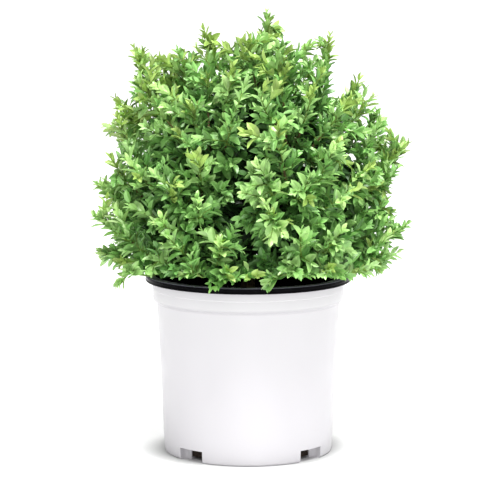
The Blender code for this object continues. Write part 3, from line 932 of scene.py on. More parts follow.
class Space:
    """The room of one mass: its cone from the fork, clear of the limbs."""

    def __init__(self, index, masses, guards):
        own = masses[index][1]
        others = [direction for k, (_, direction) in enumerate(masses) if k != index]
        self.edges = [(own - other).normalized() for other in others]
        self.guards = guards

    def holds(self, point):
        off = point - FORK
        return point.z > LOWEST_LEAF and all(off.dot(edge) > CLEARANCE / 2 for edge in self.edges)

    def takes(self, vertices, tree):
        """Whether a piece stays inside and touches no guard."""
        if not all(self.holds(vertex) for vertex in vertices):
            return False
        return not any(tree.overlap(guard) for guard in self.guards)


def frame_axes(along):
    """Two directions across a twig: one level, and one that faces up."""
    side = along.cross(UP)
    if side.length < 0.1:
        side = Vector((1.0, 0.0, 0.0))
    side.normalize()
    return side, side.cross(along).normalized()


def twig_targets(index, masses, space, shaker):
    """The tips that a mass reaches: its own, and a fan round it.

    A long shoot in its room takes the place of the nearest of them.
    """
    own = masses[index][1]
    side, face = frame_axes(own)
    turn = shaker.uniform(0.0, 2.0 * math.pi)
    ways = [own]
    for k in range(SIDE_TWIGS):
        angle = turn + 2.0 * math.pi * k / SIDE_TWIGS + shaker.uniform(-FAN_SHAKE, FAN_SHAKE)
        spread = (OUTER_FAN if k % 2 else INNER_FAN) * shaker.uniform(*FAN_SPREAD)
        offset = math.cos(angle) * side + math.sin(angle) * face
        ways.append(math.cos(spread) * own + math.sin(spread) * offset)
    tips = []
    for way in ways:
        reach = crown_reach(way) * (1.0 + shaker.uniform(-RAGGED, RAGGED))
        tips.append(FORK + reach * way)
        tips[-1].z = max(tips[-1].z, LOWEST_TIP)
    for shoot in LONG_SHOOTS:
        if space.holds(shoot):
            nearest = min(range(len(tips)), key=lambda k: (tips[k] - shoot).length)
            tips[nearest] = shoot
    return tips


def twig_line(start, along, target, count, short):
    """A twig's line, from its start to a short way before its target."""
    straight = (target - start).normalized()
    lift = TIP_LIFT if target.z > FORK.z else TIP_DROOP
    arrive = (straight + lift * UP).normalized()
    end = target - short * arrive
    length = (end - start).length
    leaving = start + TWIG_BEND * length * (along + straight).normalized()
    coming = end - TWIG_BEND * length * arrive
    return curve(start, leaving.lerp(coming, 0.5), end, count)


class Twig:
    """A twig or shoot: its line, its radii, and its order, 1 where a limb bears it."""

    def __init__(self, points, radius, end_share, order):
        self.points = points
        self.radii = taper(radius, end_share, len(points))
        self.order = order

    def length(self):
        return sum((b - a).length for a, b in zip(self.points, self.points[1:]))

    def parts(self, green_length):
        """The older wood and the green end, each as a list of lines with their radii."""
        left = self.length()
        for k in range(len(self.points) - 1):
            if left <= green_length:
                break
            left -= (self.points[k + 1] - self.points[k]).length
        old = [(self.points[: k + 1], self.radii[: k + 1])] if k else []
        return old, [(self.points[k:], self.radii[k:])]

    def back_along(self, distance):
        """(point, direction) at a distance back from the tip."""
        points = self.points
        for k in range(len(points) - 1, 0, -1):
            along = points[k] - points[k - 1]
            if distance <= along.length or k == 1:
                direction = along.normalized()
                return points[k] - min(distance, along.length) * direction, direction
            distance -= along.length
        return points[0], (points[1] - points[0]).normalized()


def first_twigs(index, masses, limbs):
    """The stem and the side twigs of a mass, carried on to the tips that they reach."""
    shaker = random.Random(CROWN_SEED * 100 + index)
    limb = limbs[index]
    space = Space(index, masses, [other.guard for other in limbs])
    tips = twig_targets(index, masses, space, shaker)
    start = limb.points[-1]
    stem = twig_line(start, limb.end_direction(), tips[0], TWIG_POINTS, TIP_ALLOWANCE)
    lines = [(stem, tips[0], STEM_RADIUS)]
    for k, target in enumerate(tips[1:]):
        place = (FIRST_TWIG + TWIG_RANGE * (GOLDEN_SHARE * k % 1.0)) * (len(stem) - 1)
        low = int(place)
        root = stem[low].lerp(stem[low + 1], place - low)
        along = (stem[low + 1] - stem[low]).normalized()
        line = twig_line(root, along, target, TWIG_POINTS, TIP_ALLOWANCE)
        shape = swept(line, taper(TWIG_RADIUS, TIP_TAPER, len(line)), PROBE_SIDES)
        if space.takes(shape[0], BVHTree.FromPolygons(*shape)):
            lines.append((line, target, TWIG_RADIUS))
    twigs = []
    for line, target, radius in lines:
        share = LONG_SHARE if abs(target.x) < EDGE else EDGE_SHARE
        if target not in LONG_SHOOTS:
            share = USUAL_SHARE - DIP_PULL * (1.0 - dip((target - FORK).normalized()))
        tip = line[-1].lerp(target, share)
        tip.z = max(tip.z, hem(tip) + TWIG_OVER_HEM)
        onward = [line[-1].lerp(tip, part) for part in (0.25, 0.5, 0.75, 1.0)]
        twigs.append(Twig(line + onward, radius, TWIG_END, 1))
    return twigs


def inside_box(point):
    low, high = CAD_BOX
    return all(low[axis] <= point[axis] <= high[axis] for axis in range(3))


def hem(point):
    """The lowest that foliage hangs: lower at the left and right than in front and behind."""
    for sprig in HANGING:
        if (point.xy - sprig.xy).length < HANGING_WIDTH:
            return sprig.z - HANGING_DROP
    across = abs(point.x) / max(1e-6, math.hypot(point.x, point.y))
    around = math.atan2(point.y, point.x)
    middle = FRONT_HEM if point.y < 0.0 else BACK_HEM
    wave = HEM_WAVE * noise.noise(Vector((math.cos(around), math.sin(around), 0.0)) * HEM_WAVES)
    return middle + (SIDE_HEM - middle) * across ** 4 + wave


def dip(way):
    """What share of its reach the crown keeps in a direction, less in the dips."""
    angle = math.degrees(math.atan2(way.z, way.x))
    level = math.hypot(way.x, way.z)
    kept = 1.0
    for middle, width, depth in DIPS:
        kept -= depth * math.exp(-((angle - middle) / width) ** 2) * level ** 4
    return kept


def clear_of_pot(point, room):
    """Whether a point is above the pot's rim or outside it, by a distance."""
    if point.z > POT_HEIGHT + room:
        return True
    return math.hypot(point.x, point.y) > RIM_RADIUS + room


def bears_leaves(twig):
    """Whether leaves have room at a twig's tip: above the hem and within the whole's box."""
    tip, along = twig.back_along(0.0)
    if any((tip - sprig).length < HANGING_DROP for sprig in HANGING):
        return True
    end = tip + LEAF_ROOM * along
    return end.z > hem(end) and inside_box(tip)


def nearest_mass(masses, point):
    way = (point - FORK).normalized()
    return max(range(len(masses)), key=lambda m: masses[m][1].dot(way))


def shoot_tips(count, masses, shaker):
    """Tips of the finer shoots, for each mass a list of (share of the crown's reach, tip).

    They are spread over the whole crown, with tufts along the long shoots and the sprigs.
    """
    found = [[] for _ in masses]
    for k in range(count):
        rise = 1.0 - ((k + 0.5) / count) ** TOP_CROWDING * (1.0 - LOWEST_RISE)
        around = GOLDEN_ANGLE * k + shaker.uniform(-TURN_SHAKE, TURN_SHAKE)
        level = math.sqrt(max(0.0, 1.0 - rise * rise))
        way = Vector((level * math.cos(around), level * math.sin(around), rise))
        step = DEPTH_STEP * k + shaker.uniform(-DEPTH_SHAKE, DEPTH_SHAKE)
        share = 1.0 - DEPTH_RANGE * (step % 1.0)
        if k % INNER_EVERY == 0:
            share = shaker.uniform(*INNER_RANGE)
        if share > OPEN_SHARE and abs(way.y) > OPEN_FACING and rise > OPEN_RISE:
            if noise.noise(way * OPEN_SCALE) < OPEN_BELOW:
                share *= OPEN_DEPTH
        tip = FORK + share * dip(way) * crown_reach(way) * way
        tip.z = max(tip.z, hem(tip) + SHOOT_ROOM)
        thin = abs(way.x) > THIN_BEYOND and rise < THIN_BELOW and k % 2
        if clear_of_pot(tip, SHOOT_ROOM) and not thin:
            found[nearest_mass(masses, tip)].append((share, tip))
    for shoots, each, nearest, farthest, width in TUFTS:
        for shoot in shoots:
            for k in range(each):
                back = nearest + (farthest - nearest) * k / each
                narrow = width * (TUFT_POINT + (1.0 - TUFT_POINT) * k / each)
                aside = Vector([shaker.uniform(-narrow, narrow) for _ in range(3)])
                tip = shoot + back * (FORK - shoot).normalized() + aside
                if tip.z > hem(tip):
                    found[nearest_mass(masses, tip)].append((TUFT_SHARE, tip))
    for sprig in HANGING:
        found[nearest_mass(masses, sprig)].append((TUFT_SHARE, sprig))
    return found


def root_for(tip, roots, tree):
    """The best place for a shoot to leave from: near, behind its tip, and not crowded."""
    best, chosen = None, None
    for _, index, distance in tree.find_range(tip, ROOT_FARTHEST):
        point, along, used = roots[index]
        if distance < ROOT_NEAREST:
            continue
        turn = along.dot((tip - point) / distance)
        cost = distance * (ROOT_TURN - turn) + ROOT_CROWDING * used[0]
        if best is None or cost < best:
            best, chosen = cost, index
    return chosen


def roots_of(twigs, first, last):
    """Places along twigs where a shoot can leave: (point, direction, count of shoots there)."""
    places = []
    for twig in twigs:
        length = twig.length()
        steps = max(2, int(length / ROOT_SPACING))
        for k in range(steps):
            share = first + (last - first) * k / (steps - 1)
            point, along = twig.back_along((1.0 - share) * length)
            places.append((point, along, [0]))
    return places


def finer_shoots(twigs, tips, radius):
    """Shoots from a mass's twigs to its tips, the inner ones first, then those they bear."""
    grown = []
    bearing = roots_of(twigs, *TWIG_BEARS)
    ordered = sorted(tips, key=lambda item: item[0])
    half = len(ordered) // 2
    for order, batch in ((2, ordered[:half]), (3, ordered[half:])):
        tree = KDTree(len(bearing))
        for k, (point, _, _) in enumerate(bearing):
            tree.insert(point, k)
        tree.balance()
        fresh = []
        for _, tip in batch:
            chosen = root_for(tip, bearing, tree)
            if chosen is None:
                continue
            point, along, used = bearing[chosen]
            used[0] += 1
            line = twig_line(point, along, tip, SHOOT_POINTS, SHOOT_ALLOWANCE)
            shoot = Twig(line, radius, SHOOT_END, order)
            if bears_leaves(shoot):
                fresh.append(shoot)
        grown.extend(fresh)
        bearing.extend(roots_of(fresh, *SHOOT_BEARS))
    return grown


@functools.lru_cache(maxsize=1)
def grown_crown(shoots, radius):
    """(limbs, twigs of the first order, finer shoots) of the whole crown."""
    masses = mass_directions()
    limbs = grow_limbs(masses)
    shaker = random.Random(CROWN_SEED + 1)
    tips = shoot_tips(shoots, masses, shaker)
    twigs, fine = [], []
    for index in range(len(masses)):
        own = first_twigs(index, masses, limbs)
        twigs.extend(own)
        fine.extend(finer_shoots(own, tips[index], radius))
    return limbs, twigs, fine


# ---- pot


def turned_plan(points, turn):
    """(x, y) points turned about the pot's axis."""
    cosine, sine = math.cos(turn), math.sin(turn)
    return [(x * cosine - y * sine, x * sine + y * cosine) for x, y in points]


def scoop_plan(turn, grown=0.0):
    """The plan of one scoop: a bay with rounded inner corners, wider and deeper by grown."""
    half = SCOOP_WIDTH / 2 + grown
    inner = FOOT_RADIUS - SCOOP_DEPTH - grown
    outer = FOOT_RADIUS + SCOOP_DEPTH
    corner = arc((inner + SCOOP_CORNER, half - SCOOP_CORNER), SCOOP_CORNER, 90.0, 180.0, 7)
    side = [(outer, half)] + corner
    return turned_plan(side + [(x, -y) for x, y in side[::-1]], turn)


def drain_plan(turn):
    """The plan of the drain slot through the back of one scoop."""
    inner = FOOT_RADIUS - SCOOP_DEPTH - DRAIN_DEPTH
    outer = FOOT_RADIUS - SCOOP_DEPTH + WALL
    half = DRAIN_WIDTH / 2
    return turned_plan([(inner, -half), (outer, -half), (outer, half), (inner, half)], turn)


def pot_outside():
    """The pot's outer profile, from the middle of its underside to the top of its collar."""
    hollow = FOOT_RADIUS - HOLLOW_INSET
    points = [(0.0, HOLLOW), (hollow, HOLLOW), (FOOT_RADIUS - RING_INSET, 0.0)]
    points += arc((FOOT_RADIUS - FOOT_ROUND, FOOT_ROUND), FOOT_ROUND, -90.0, 0.0, 5)
    body_top = COLLAR_FOOT_Z - COLLAR_STEP
    for k in range(1, BODY_LEVELS):
        share = k / BODY_LEVELS
        waist = BODY_WAIST * math.sin(math.pi * share)
        radius = FOOT_RADIUS + (BODY_TOP_RADIUS - FOOT_RADIUS) * share - waist
        points.append((radius, FOOT_ROUND + (body_top - FOOT_ROUND) * share))
    step = COLLAR_RADIUS - BODY_TOP_RADIUS
    for out, up in COLLAR_CURVE:
        points.append((BODY_TOP_RADIUS + out * step, COLLAR_FOOT_Z + up * COLLAR_STEP))
    points += [
        (COLLAR_RADIUS, BAND_Z - BAND_STEP),
        (COLLAR_RADIUS + BAND_STEP, BAND_Z),
        (COLLAR_RADIUS + BAND_STEP, COLLAR_TOP - BAND_STEP),
        (COLLAR_RADIUS, COLLAR_TOP),
    ]
    return points


def pot_inside():
    """The pot's inner profile, from the top of its collar to the middle of its floor."""
    return [
        (COLLAR_RADIUS - WALL, COLLAR_TOP),
        (COLLAR_RADIUS - WALL, COLLAR_FOOT_Z + COLLAR_STEP),
        (BODY_TOP_RADIUS - WALL, COLLAR_FOOT_Z - 0.5 * COLLAR_STEP),
        (FOOT_RADIUS - WALL, FLOOR),
        (0.0, FLOOR),
    ]


def make_pot(settings):
    """A thin-walled bucket with a stepped collar, a rounded foot and four drain scoops."""
    pot = turned("nursery_pot", pot_outside() + pot_inside(), settings.sides)
    bays, cuts, drains = [], [], []
    for k in range(SCOOPS):
        turn = FIRST_SCOOP + 2.0 * math.pi * k / SCOOPS
        bay = prism("bay", scoop_plan(turn, WALL), 0.3 * FLOOR, SCOOP_HEIGHT + WALL)
        body = turned("body", pot_outside() + [(0.0, COLLAR_TOP)], settings.sides)
        bays.append(combine(bay, [body], "INTERSECT"))
        cuts.append(prism("cut", scoop_plan(turn), -WALL, SCOOP_HEIGHT))
        drains.append(prism("drain", drain_plan(turn), -WALL, DRAIN_TOP))
    combine(pot, bays, "UNION")
    combine(pot, cuts, "DIFFERENCE")
    combine(pot, drains, "DIFFERENCE")
    mesh = pot.data
    mesh.materials.clear()
    mesh.materials.append(white_plastic(settings.white))
    mesh.materials.append(black_plastic(settings.black))
    inner = FOOT_RADIUS - SCOOP_DEPTH
    for face in mesh.polygons:
        centre, normal = face.center, face.normal
        radius = math.hypot(centre.x, centre.y)
        inward = centre.x * normal.x + centre.y * normal.y < -0.5 * radius
        lining = inward and centre.z > SCOOP_HEIGHT + WALL
        floor = normal.z > 0.9 and centre.z > 0.5 * FLOOR and radius < inner
        face.material_index = 1 if lining or floor else 0
    smooth(mesh, sharp_angle=32.0)
    return dress(pot, "pot_white", "pot")


def make_rim(settings):
    """The black rim: a lip rolled over and down outside, and a skirt that lines the collar."""
    skirt = COLLAR_RADIUS - WALL - SKIRT_FIT
    inside = skirt - SKIRT_THICKNESS
    bottom = POT_HEIGHT - RIM_DEPTH
    grooved = RIM_RADIUS - RIM_GROOVE
    half = RIM_THICKNESS / 2
    shoulder = POT_HEIGHT - RIM_ROLL
    middle = 0.5 * (RIM_RADIUS + skirt)
    ledge = POT_HEIGHT - RIM_LEDGE
    under = POT_HEIGHT - RIM_THICKNESS
    lip_inside = RIM_RADIUS - RIM_THICKNESS
    bevel = 0.0005
    profile = [
        *arc((RIM_RADIUS - half, bottom + half), half, -180.0, 0.0, 7),
        (RIM_RADIUS, bottom + RIM_THICKNESS),
        (grooved, bottom + RIM_THICKNESS + bevel),
        (grooved, shoulder - 2.0 * RIM_GROOVE),
        (RIM_RADIUS, shoulder - RIM_GROOVE),
        *arc((RIM_RADIUS - RIM_ROLL, shoulder), RIM_ROLL, 0.0, 90.0, 6),
        (middle + 2.0 * bevel, POT_HEIGHT),
        (middle, ledge),
        (middle - 2.0 * bevel, ledge),
        *arc((inside + RIM_ROLL, ledge - RIM_ROLL), RIM_ROLL, 90.0, 180.0, 6),
        (inside, SKIRT_BOTTOM + SKIRT_FIT),
        (inside + SKIRT_FIT, SKIRT_BOTTOM),
        (skirt, SKIRT_BOTTOM),
        (skirt, under - bevel),
        (skirt + RIM_LEDGE, under),
        (lip_inside - RIM_GROOVE, under),
        (lip_inside, under - 2.0 * RIM_LEDGE),
    ]
    rim = turned("rolled_rim", profile, settings.sides, closed=True)
    rim.data.materials.append(black_plastic(settings.black))
    smooth(rim.data, sharp_angle=40.0)
    return dress(rim, "rim_black", "pot_rim")


class BOXWOOD_OT_pot(bpy.types.Operator):
    """Build the white pot and its black rolled rim"""

    bl_idname = "boxwood.pot"
    bl_label = "Build pot"

    def execute(self, context):
        settings = context.scene.boxwood.pot
        make_pot(settings)
        make_rim(settings)
        return {"FINISHED"}


# ---- potting mix


def crumb_tree():
    """Scatters pieces over a surface, each turned and sized at random."""
    tree, given = geometry_tree(
        "scatter_crumbs",
        (
            ("Crumb", "NodeSocketObject", None),
            ("Spacing", "NodeSocketFloat", 0.004),
            ("Density", "NodeSocketFloat", 60000.0),
            ("Smallest", "NodeSocketFloat", 0.35),
            ("Least turn", "NodeSocketVector", (-0.5, -0.5, 0.0)),
            ("Most turn", "NodeSocketVector", (0.5, 0.5, 6.283)),
            ("Seed", "NodeSocketInt", 1),
            ("Material", "NodeSocketMaterial", None),
        ),
    )
    sockets = {
        "Mesh": given["Geometry"],
        "Distance Min": given["Spacing"],
        "Density Max": given["Density"],
        "Seed": given["Seed"],
    }
    kind = "GeometryNodeDistributePointsOnFaces"
    scatter = node(tree, kind, sockets, distribute_method="POISSON")
    sockets = {"Min": given["Least turn"], "Max": given["Most turn"], "Seed": given["Seed"]}
    turn = node(tree, "FunctionNodeRandomValue", sockets, data_type="FLOAT_VECTOR")
    # The random value's sockets share their names too: 2 and 3 are the float's least and most
    sockets = {2: given["Smallest"], 3: 1.0, "Seed": given["Seed"]}
    size = node(tree, "FunctionNodeRandomValue", sockets, data_type="FLOAT")
    crumb = node(tree, "GeometryNodeObjectInfo", {"Object": given["Crumb"]})
    sockets = {
        "Points": scatter.outputs["Points"],
        "Instance": crumb.outputs["Geometry"],
        "Rotation": turn.outputs[0],
        "Scale": size.outputs[1],
    }
    placed = node(tree, "GeometryNodeInstanceOnPoints", sockets)
    return finish_tree(tree, placed.outputs["Instances"], given["Material"])


def crumb_shape(name, size, flat, seed):
    """A broken lump, flattened by a share and rough all over."""
    work = bmesh.new()
    bmesh.ops.create_icosphere(work, subdivisions=1, radius=0.5 * size)
    shaker = random.Random(seed)
    for corner in work.verts:
        corner.co *= shaker.uniform(*CRUMB_ROUGH)
        corner.co.z *= flat
        corner.co.y *= CRUMB_NARROW
    return object_from(name, work)


def mix_surface(name):
    """The top of the potting mix as a bare surface to scatter on."""
    profile = [(radius, SOIL_TOP - share * SOIL_DROP) for radius, share in SOIL_PROFILE]
    return turned(name, profile, sides=48)


def make_mix(settings):
    """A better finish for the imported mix, with chips, crumbs and white grit on top."""
    soil = frame["nodes"]["potting_mix"]
    soil.data.materials.clear()
    soil.data.materials.append(mix_material(settings.brown))
    tree = crumb_tree()
    kinds = (
        # name, share of the largest size, flatness, share of the spacing, material
        ("bark_crumbs", 0.55, 0.6, 1.0, chip_material(settings.brown)),
        ("bark_chips", 1.0, 0.28, 2.6, chip_material(shade(settings.brown, 1.8))),
        ("white_grit", 0.36, 0.8, 4.2, grit_material()),
    )
    for seed, (name, size, flat, spacing, finish) in enumerate(kinds):
        shape = crumb_shape(name + "_shape", size * settings.crumb_size, flat, seed)
        values = {
            "Crumb": shape,
            "Spacing": spacing * settings.crumb_spacing,
            "Seed": seed,
            "Material": finish,
        }
        dress(grown_mesh(mix_surface(name), tree, values), "potting_mix_brown")
        bpy.data.objects.remove(shape)


class BOXWOOD_OT_mix(bpy.types.Operator):
    """Finish the potting mix with crumbs, bark chips and grit"""

    bl_idname = "boxwood.mix"
    bl_label = "Build potting mix"

    def execute(self, context):
        make_mix(context.scene.boxwood.mix)
        return {"FINISHED"}


# ---- trunk and limbs


def bark_relief(start, spacing, radius, depth, lobes=0, flare=None):
    """A relief for a tube: long ridges broken by noise, and root lobes where there are some."""

    def relief(ring, turn):
        along = start + ring * spacing
        across = (BARK_GIRTH * math.cos(turn), BARK_GIRTH * math.sin(turn))
        place = Vector((*across, BARK_STRETCH * along / radius))
        ridge = noise.noise(place * BARK_RIDGES) + CRACK_SHARE * noise.noise(place * BARK_CRACKS)
        lobe = flare(ring) * math.cos(lobes * turn) if flare else 0.0
        return depth * ridge + lobe

    return relief


def trunk_shape(depth):
    """The trunk's own tube, from its flat cut on the mix to the fork, with its root flare."""
    last = TRUNK_LEVELS - 1
    axis = FORK - FOOT
    points, radii = [], []
    for k in range(TRUNK_LEVELS):
        share = k / last
        for (low, wide), (high, narrow) in zip(TRUNK_SHAPE, TRUNK_SHAPE[1:]):
            if low <= share <= high:
                blend = (share - low) / (high - low)
                blend = blend * blend * (3.0 - 2.0 * blend)
                size = wide + (narrow - wide) * blend
        points.append(FOOT + share * axis)
        radii.append(size * TRUNK_FOOT_RADIUS * BARK_WITHIN)
    relief = bark_relief(
        0.0, axis.length / last, TRUNK_FOOT_RADIUS, depth, ROOT_LOBES,
        lambda ring: ROOT_FLARE * (1.0 - ring / last) ** 3,
    )
    return swept(points, radii, TRUNK_SIDES, UP, relief)


def limb_shape(limb, number, depth):
    """A limb's tube with bark, run back into what bears it."""
    first = (limb.points[1] - limb.points[0]).normalized()
    start = limb.points[0] - LIMB_SUNK * limb.radii[0] * first
    points = [start] + limb.points
    radii = [limb.radii[0] * LIMB_SWELL] + limb.radii
    radii[1] *= LIMB_SWELL_AFTER
    relief = bark_relief(number * BARK_SHIFT, LIMB_RING, limb.radii[0], depth)
    return swept(points, radii, LIMB_SIDES, first, relief)


class BOXWOOD_OT_bark(bpy.types.Operator):
    """Build the trunk and limbs with the relief of their bark"""

    bl_idname = "boxwood.bark"
    bl_label = "Build trunk and limbs"

    def execute(self, context):
        settings = context.scene.boxwood
        limbs, _, _ = grown_crown(settings.twigs.shoots, settings.twigs.radius)
        depth = settings.bark.relief
        finish = bark_material("furrowed_bark", settings.bark.light, settings.bark.dark, 170.0)
        trunk = joined("trunk_bark", [trunk_shape(depth)])
        shapes = [limb_shape(limb, k, depth) for k, limb in enumerate(limbs)]
        boughs = joined("limb_bark", shapes)
        for piece, nodes in ((trunk, ["trunk"]), (boughs, LIMBS)):
            piece.data.materials.append(finish)
            smooth(piece.data, sharp_angle=50.0)
            dress(piece, "bark", *nodes)
        return {"FINISHED"}


# ---- twigs and shoots


def twig_tree():
    """Turns lines with a thickness at each point into round twigs."""
    tree, given = geometry_tree(
        "round_twigs",
        (
            ("Sides", "NodeSocketInt", 5),
            ("Thickness", "NodeSocketFloat", 1.0),
            ("Material", "NodeSocketMaterial", None),
        ),
    )
    lines = node(tree, "GeometryNodeMeshToCurve", {"Mesh": given["Geometry"]})
    sockets = {"Resolution": given["Sides"], "Radius": 1.0}
    ring = node(tree, "GeometryNodeCurvePrimitiveCircle", sockets)
    sockets = {
        "Curve": lines.outputs["Curve"],
        "Profile Curve": ring.outputs["Curve"],
        "Scale": scaled(tree, "thickness", given["Thickness"]),
        "Fill Caps": True,
    }
    tube = node(tree, "GeometryNodeCurveToMesh", sockets)
    return finish_tree(tree, tube.outputs["Mesh"], given["Material"])


def line_object(name, lines):
    """Lines with a thickness at each point, as a mesh of edges."""
    vertices, edges, thickness = [], [], []
    for points, radii in lines:
        start = len(vertices)
        vertices.extend(points)
        thickness.extend(radii)
        edges.extend((start + k, start + k + 1) for k in range(len(points) - 1))
    mesh = bpy.data.meshes.new(name)
    mesh.from_pydata(vertices, edges, [])
    mesh.attributes.new("thickness", "FLOAT", "POINT").data.foreach_set("value", thickness)
    return link(name, mesh)


class BOXWOOD_OT_twigs(bpy.types.Operator):
    """Build the woody twigs and the green shoots of the crown"""

    bl_idname = "boxwood.twigs"
    bl_label = "Build twigs and shoots"

    def execute(self, context):
        settings = context.scene.boxwood.twigs
        _, twigs, fine = grown_crown(settings.shoots, settings.radius)
        tree = twig_tree()
        woody, green = [], []
        for twig in twigs + fine:
            old, new = twig.parts(GREEN_LENGTH)
            woody.extend(old)
            green.extend(new)
        brown = bark_material("twig_wood", settings.brown, shade(settings.brown, 0.4), 320.0)
        fresh = leaf_material("green_shoot", settings.green, 0.5)
        for name, lines, sides, finish, slot in (
            ("woody_twigs", woody, 6, brown, "bark"),
            ("green_shoots", green, 4, fresh, "leaf_green"),
        ):
            values = {"Sides": sides, "Material": finish}
            piece = grown_mesh(line_object(name, lines), tree, values)
            smooth(piece.data, sharp_angle=60.0)
            dress(piece, slot, *FOLIAGE)
        return {"FINISHED"}


# ---- leaves


# (share of the leaf's length, share of its half width)
LEAF_STATIONS = ((0.13, 0.54), (0.36, 0.95), (0.62, 0.96), (0.85, 0.58))
# (name, droop of the tip, fold along the midrib, half width): the droop and the half width are
# shares of the length, and the fold is how far the edges rise as a share of the half width
LEAF_KINDS = (("a", 0.05, 0.42, 0.205), ("b", 0.14, 0.40, 0.250), ("c", -0.03, 0.60, 0.180))
# The rise of the blade's middle and its thickness, as shares of the length
LEAF_ARCH = 0.04
LEAF_THICKNESS = 0.022
LEAF_CLEARANCE = 0.0015
# How much of a twig has leaves: a share of a short one, or this length of a twig or a shoot
LEAFY_SHARE = 0.85
LEAFY_TWIG = 0.085
LEAFY_SHOOT = 0.062
FIRST_PAIR = 0.0005
VIGOUR = (0.84, 1.12)
# The pairs nearest the tip are still growing and opening: their size, spacing and spread
GROWING_PAIRS = 2.0
NEWEST_SIZE = 0.58
OPENING_PAIRS = 4.0
NEWEST_SPACING = 0.76
NEWEST_SPREAD = 25.0
FURTHER_SPREAD = 30.0
# How uneven the leaves are, and how much they face up
PAIR_SHAKE = 0.22
SPREAD_SHAKE = (0.82, 1.18)
FACE_UP = 0.45
FACE_SHAKE = 0.35
SIZE_SHAKE = (0.88, 1.10)
# Leaves are larger at the lower front, and grow further where they fill the crown's inside
SMALL_LEAF = 0.95
LARGE_LEAF = 1.06
INNER_FROM = 0.12
INNER_GROWTH = 0.9
# The share of broad leaves, and how much it rises towards the lower front
BROAD_SHARE = 0.25
BROAD_RISE = 0.65
# A leaf that has no room is tried again at the second of these sizes
ROOMS = (1.0, 0.7)

TINTS = ("young", "bright", "fresh", "full", "deep", "dark", "shaded")
MOOD_RANGE = 0.62
# Young tints: how many pairs, how far within the crown, and how height makes them likelier
YOUNG_PAIRS = 3
YOUNG_DEPTH = 0.16
YOUNG_GAIN = 1.3
YOUNG_START = 0.95
# Where the other tints start, and what depth, height and distance from the tip add to them: depth
# adds painted shade within the crown, and height takes tone off as painted light up high
TONE_START = 1.92
TONE_DEPTH_SHADE = 8.6
TONE_HEIGHT_LIGHT = -0.8
TONE_PAIR = 0.20


def leaf_shape(name, droop, fold, width):
    """A leaf one unit long along X, its upper side facing Z, closed, with a folded midrib."""
    work = bmesh.new()
    rise = [fold * width * wide for _, wide in LEAF_STATIONS]
    base = work.verts.new((0.0, 0.0, 0.0))
    tip = work.verts.new((1.0, 0.0, -droop))
    rows = []
    for (place, wide), lift in zip(LEAF_STATIONS, rise):
        height = -droop * place * place + LEAF_ARCH * math.sin(math.pi * place)
        half = width * wide
        left = work.verts.new((place, half, height + lift))
        rib = work.verts.new((place, 0.0, height))
        right = work.verts.new((place, -half, height + lift))
        under = work.verts.new((place, 0.0, height - LEAF_THICKNESS))
        rows.append((left, rib, right, under))
    first, last = rows[0], rows[-1]
    for middle in (1, 3):
        work.faces.new((base, first[middle], first[0]))
        work.faces.new((base, first[2], first[middle]))
        for low, high in zip(rows, rows[1:]):
            work.faces.new((low[0], low[middle], high[middle], high[0]))
            work.faces.new((low[middle], low[2], high[2], high[middle]))
        work.faces.new((last[0], last[middle], tip))
        work.faces.new((last[middle], last[2], tip))
    bmesh.ops.recalc_face_normals(work, faces=work.faces)
    made = object_from(name, work)
    smooth(made.data, sharp_angle=38.0)
    return made


def leaf_tree():
    """Sets a leaf on each point, turned and sized by the point's attributes."""
    tree, given = geometry_tree(
        "set_leaves",
        (
            ("Leaves", "NodeSocketCollection", None),
            ("Size", "NodeSocketFloat", 1.0),
            ("Material", "NodeSocketMaterial", None),
        ),
    )
    sockets = {"Collection": given["Leaves"], "Separate Children": True, "Reset Children": True}
    kinds = node(tree, "GeometryNodeCollectionInfo", sockets)
    sockets = {
        "Points": given["Geometry"],
        "Instance": kinds.outputs["Instances"],
        "Pick Instance": True,
        "Instance Index": attribute(tree, "kind", "INT"),
        "Rotation": attribute(tree, "turn", "QUATERNION"),
        "Scale": scaled(tree, "size", given["Size"]),
    }
    placed = node(tree, "GeometryNodeInstanceOnPoints", sockets)
    return finish_tree(tree, placed.outputs["Instances"], given["Material"])


class Leaf:
    """Where one leaf grows: its base, its axes, its length and which shape it has."""

    def __init__(self, base, along, upper, length, kind):
        self.base = base
        self.length = length
        self.kind = kind
        self.tip = base + length * along
        across = upper.cross(along).normalized()
        upper = along.cross(across)
        self.turn = Matrix((along, across, upper)).transposed().to_quaternion()

    def fits(self):
        if self.tip.z < hem(self.tip):
            return False
        points = (self.base, self.base.lerp(self.tip, 0.5), self.tip)
        return all(inside_box(point) and clear_of_pot(point, LEAF_CLEARANCE) for point in points)


def depth_of(twig):
    """How far a twig's tip is within the crown, as a share of the crown's reach there."""
    tip = twig.points[-1] - FORK
    return max(0.0, 1.0 - tip.length / crown_reach(tip.normalized()))


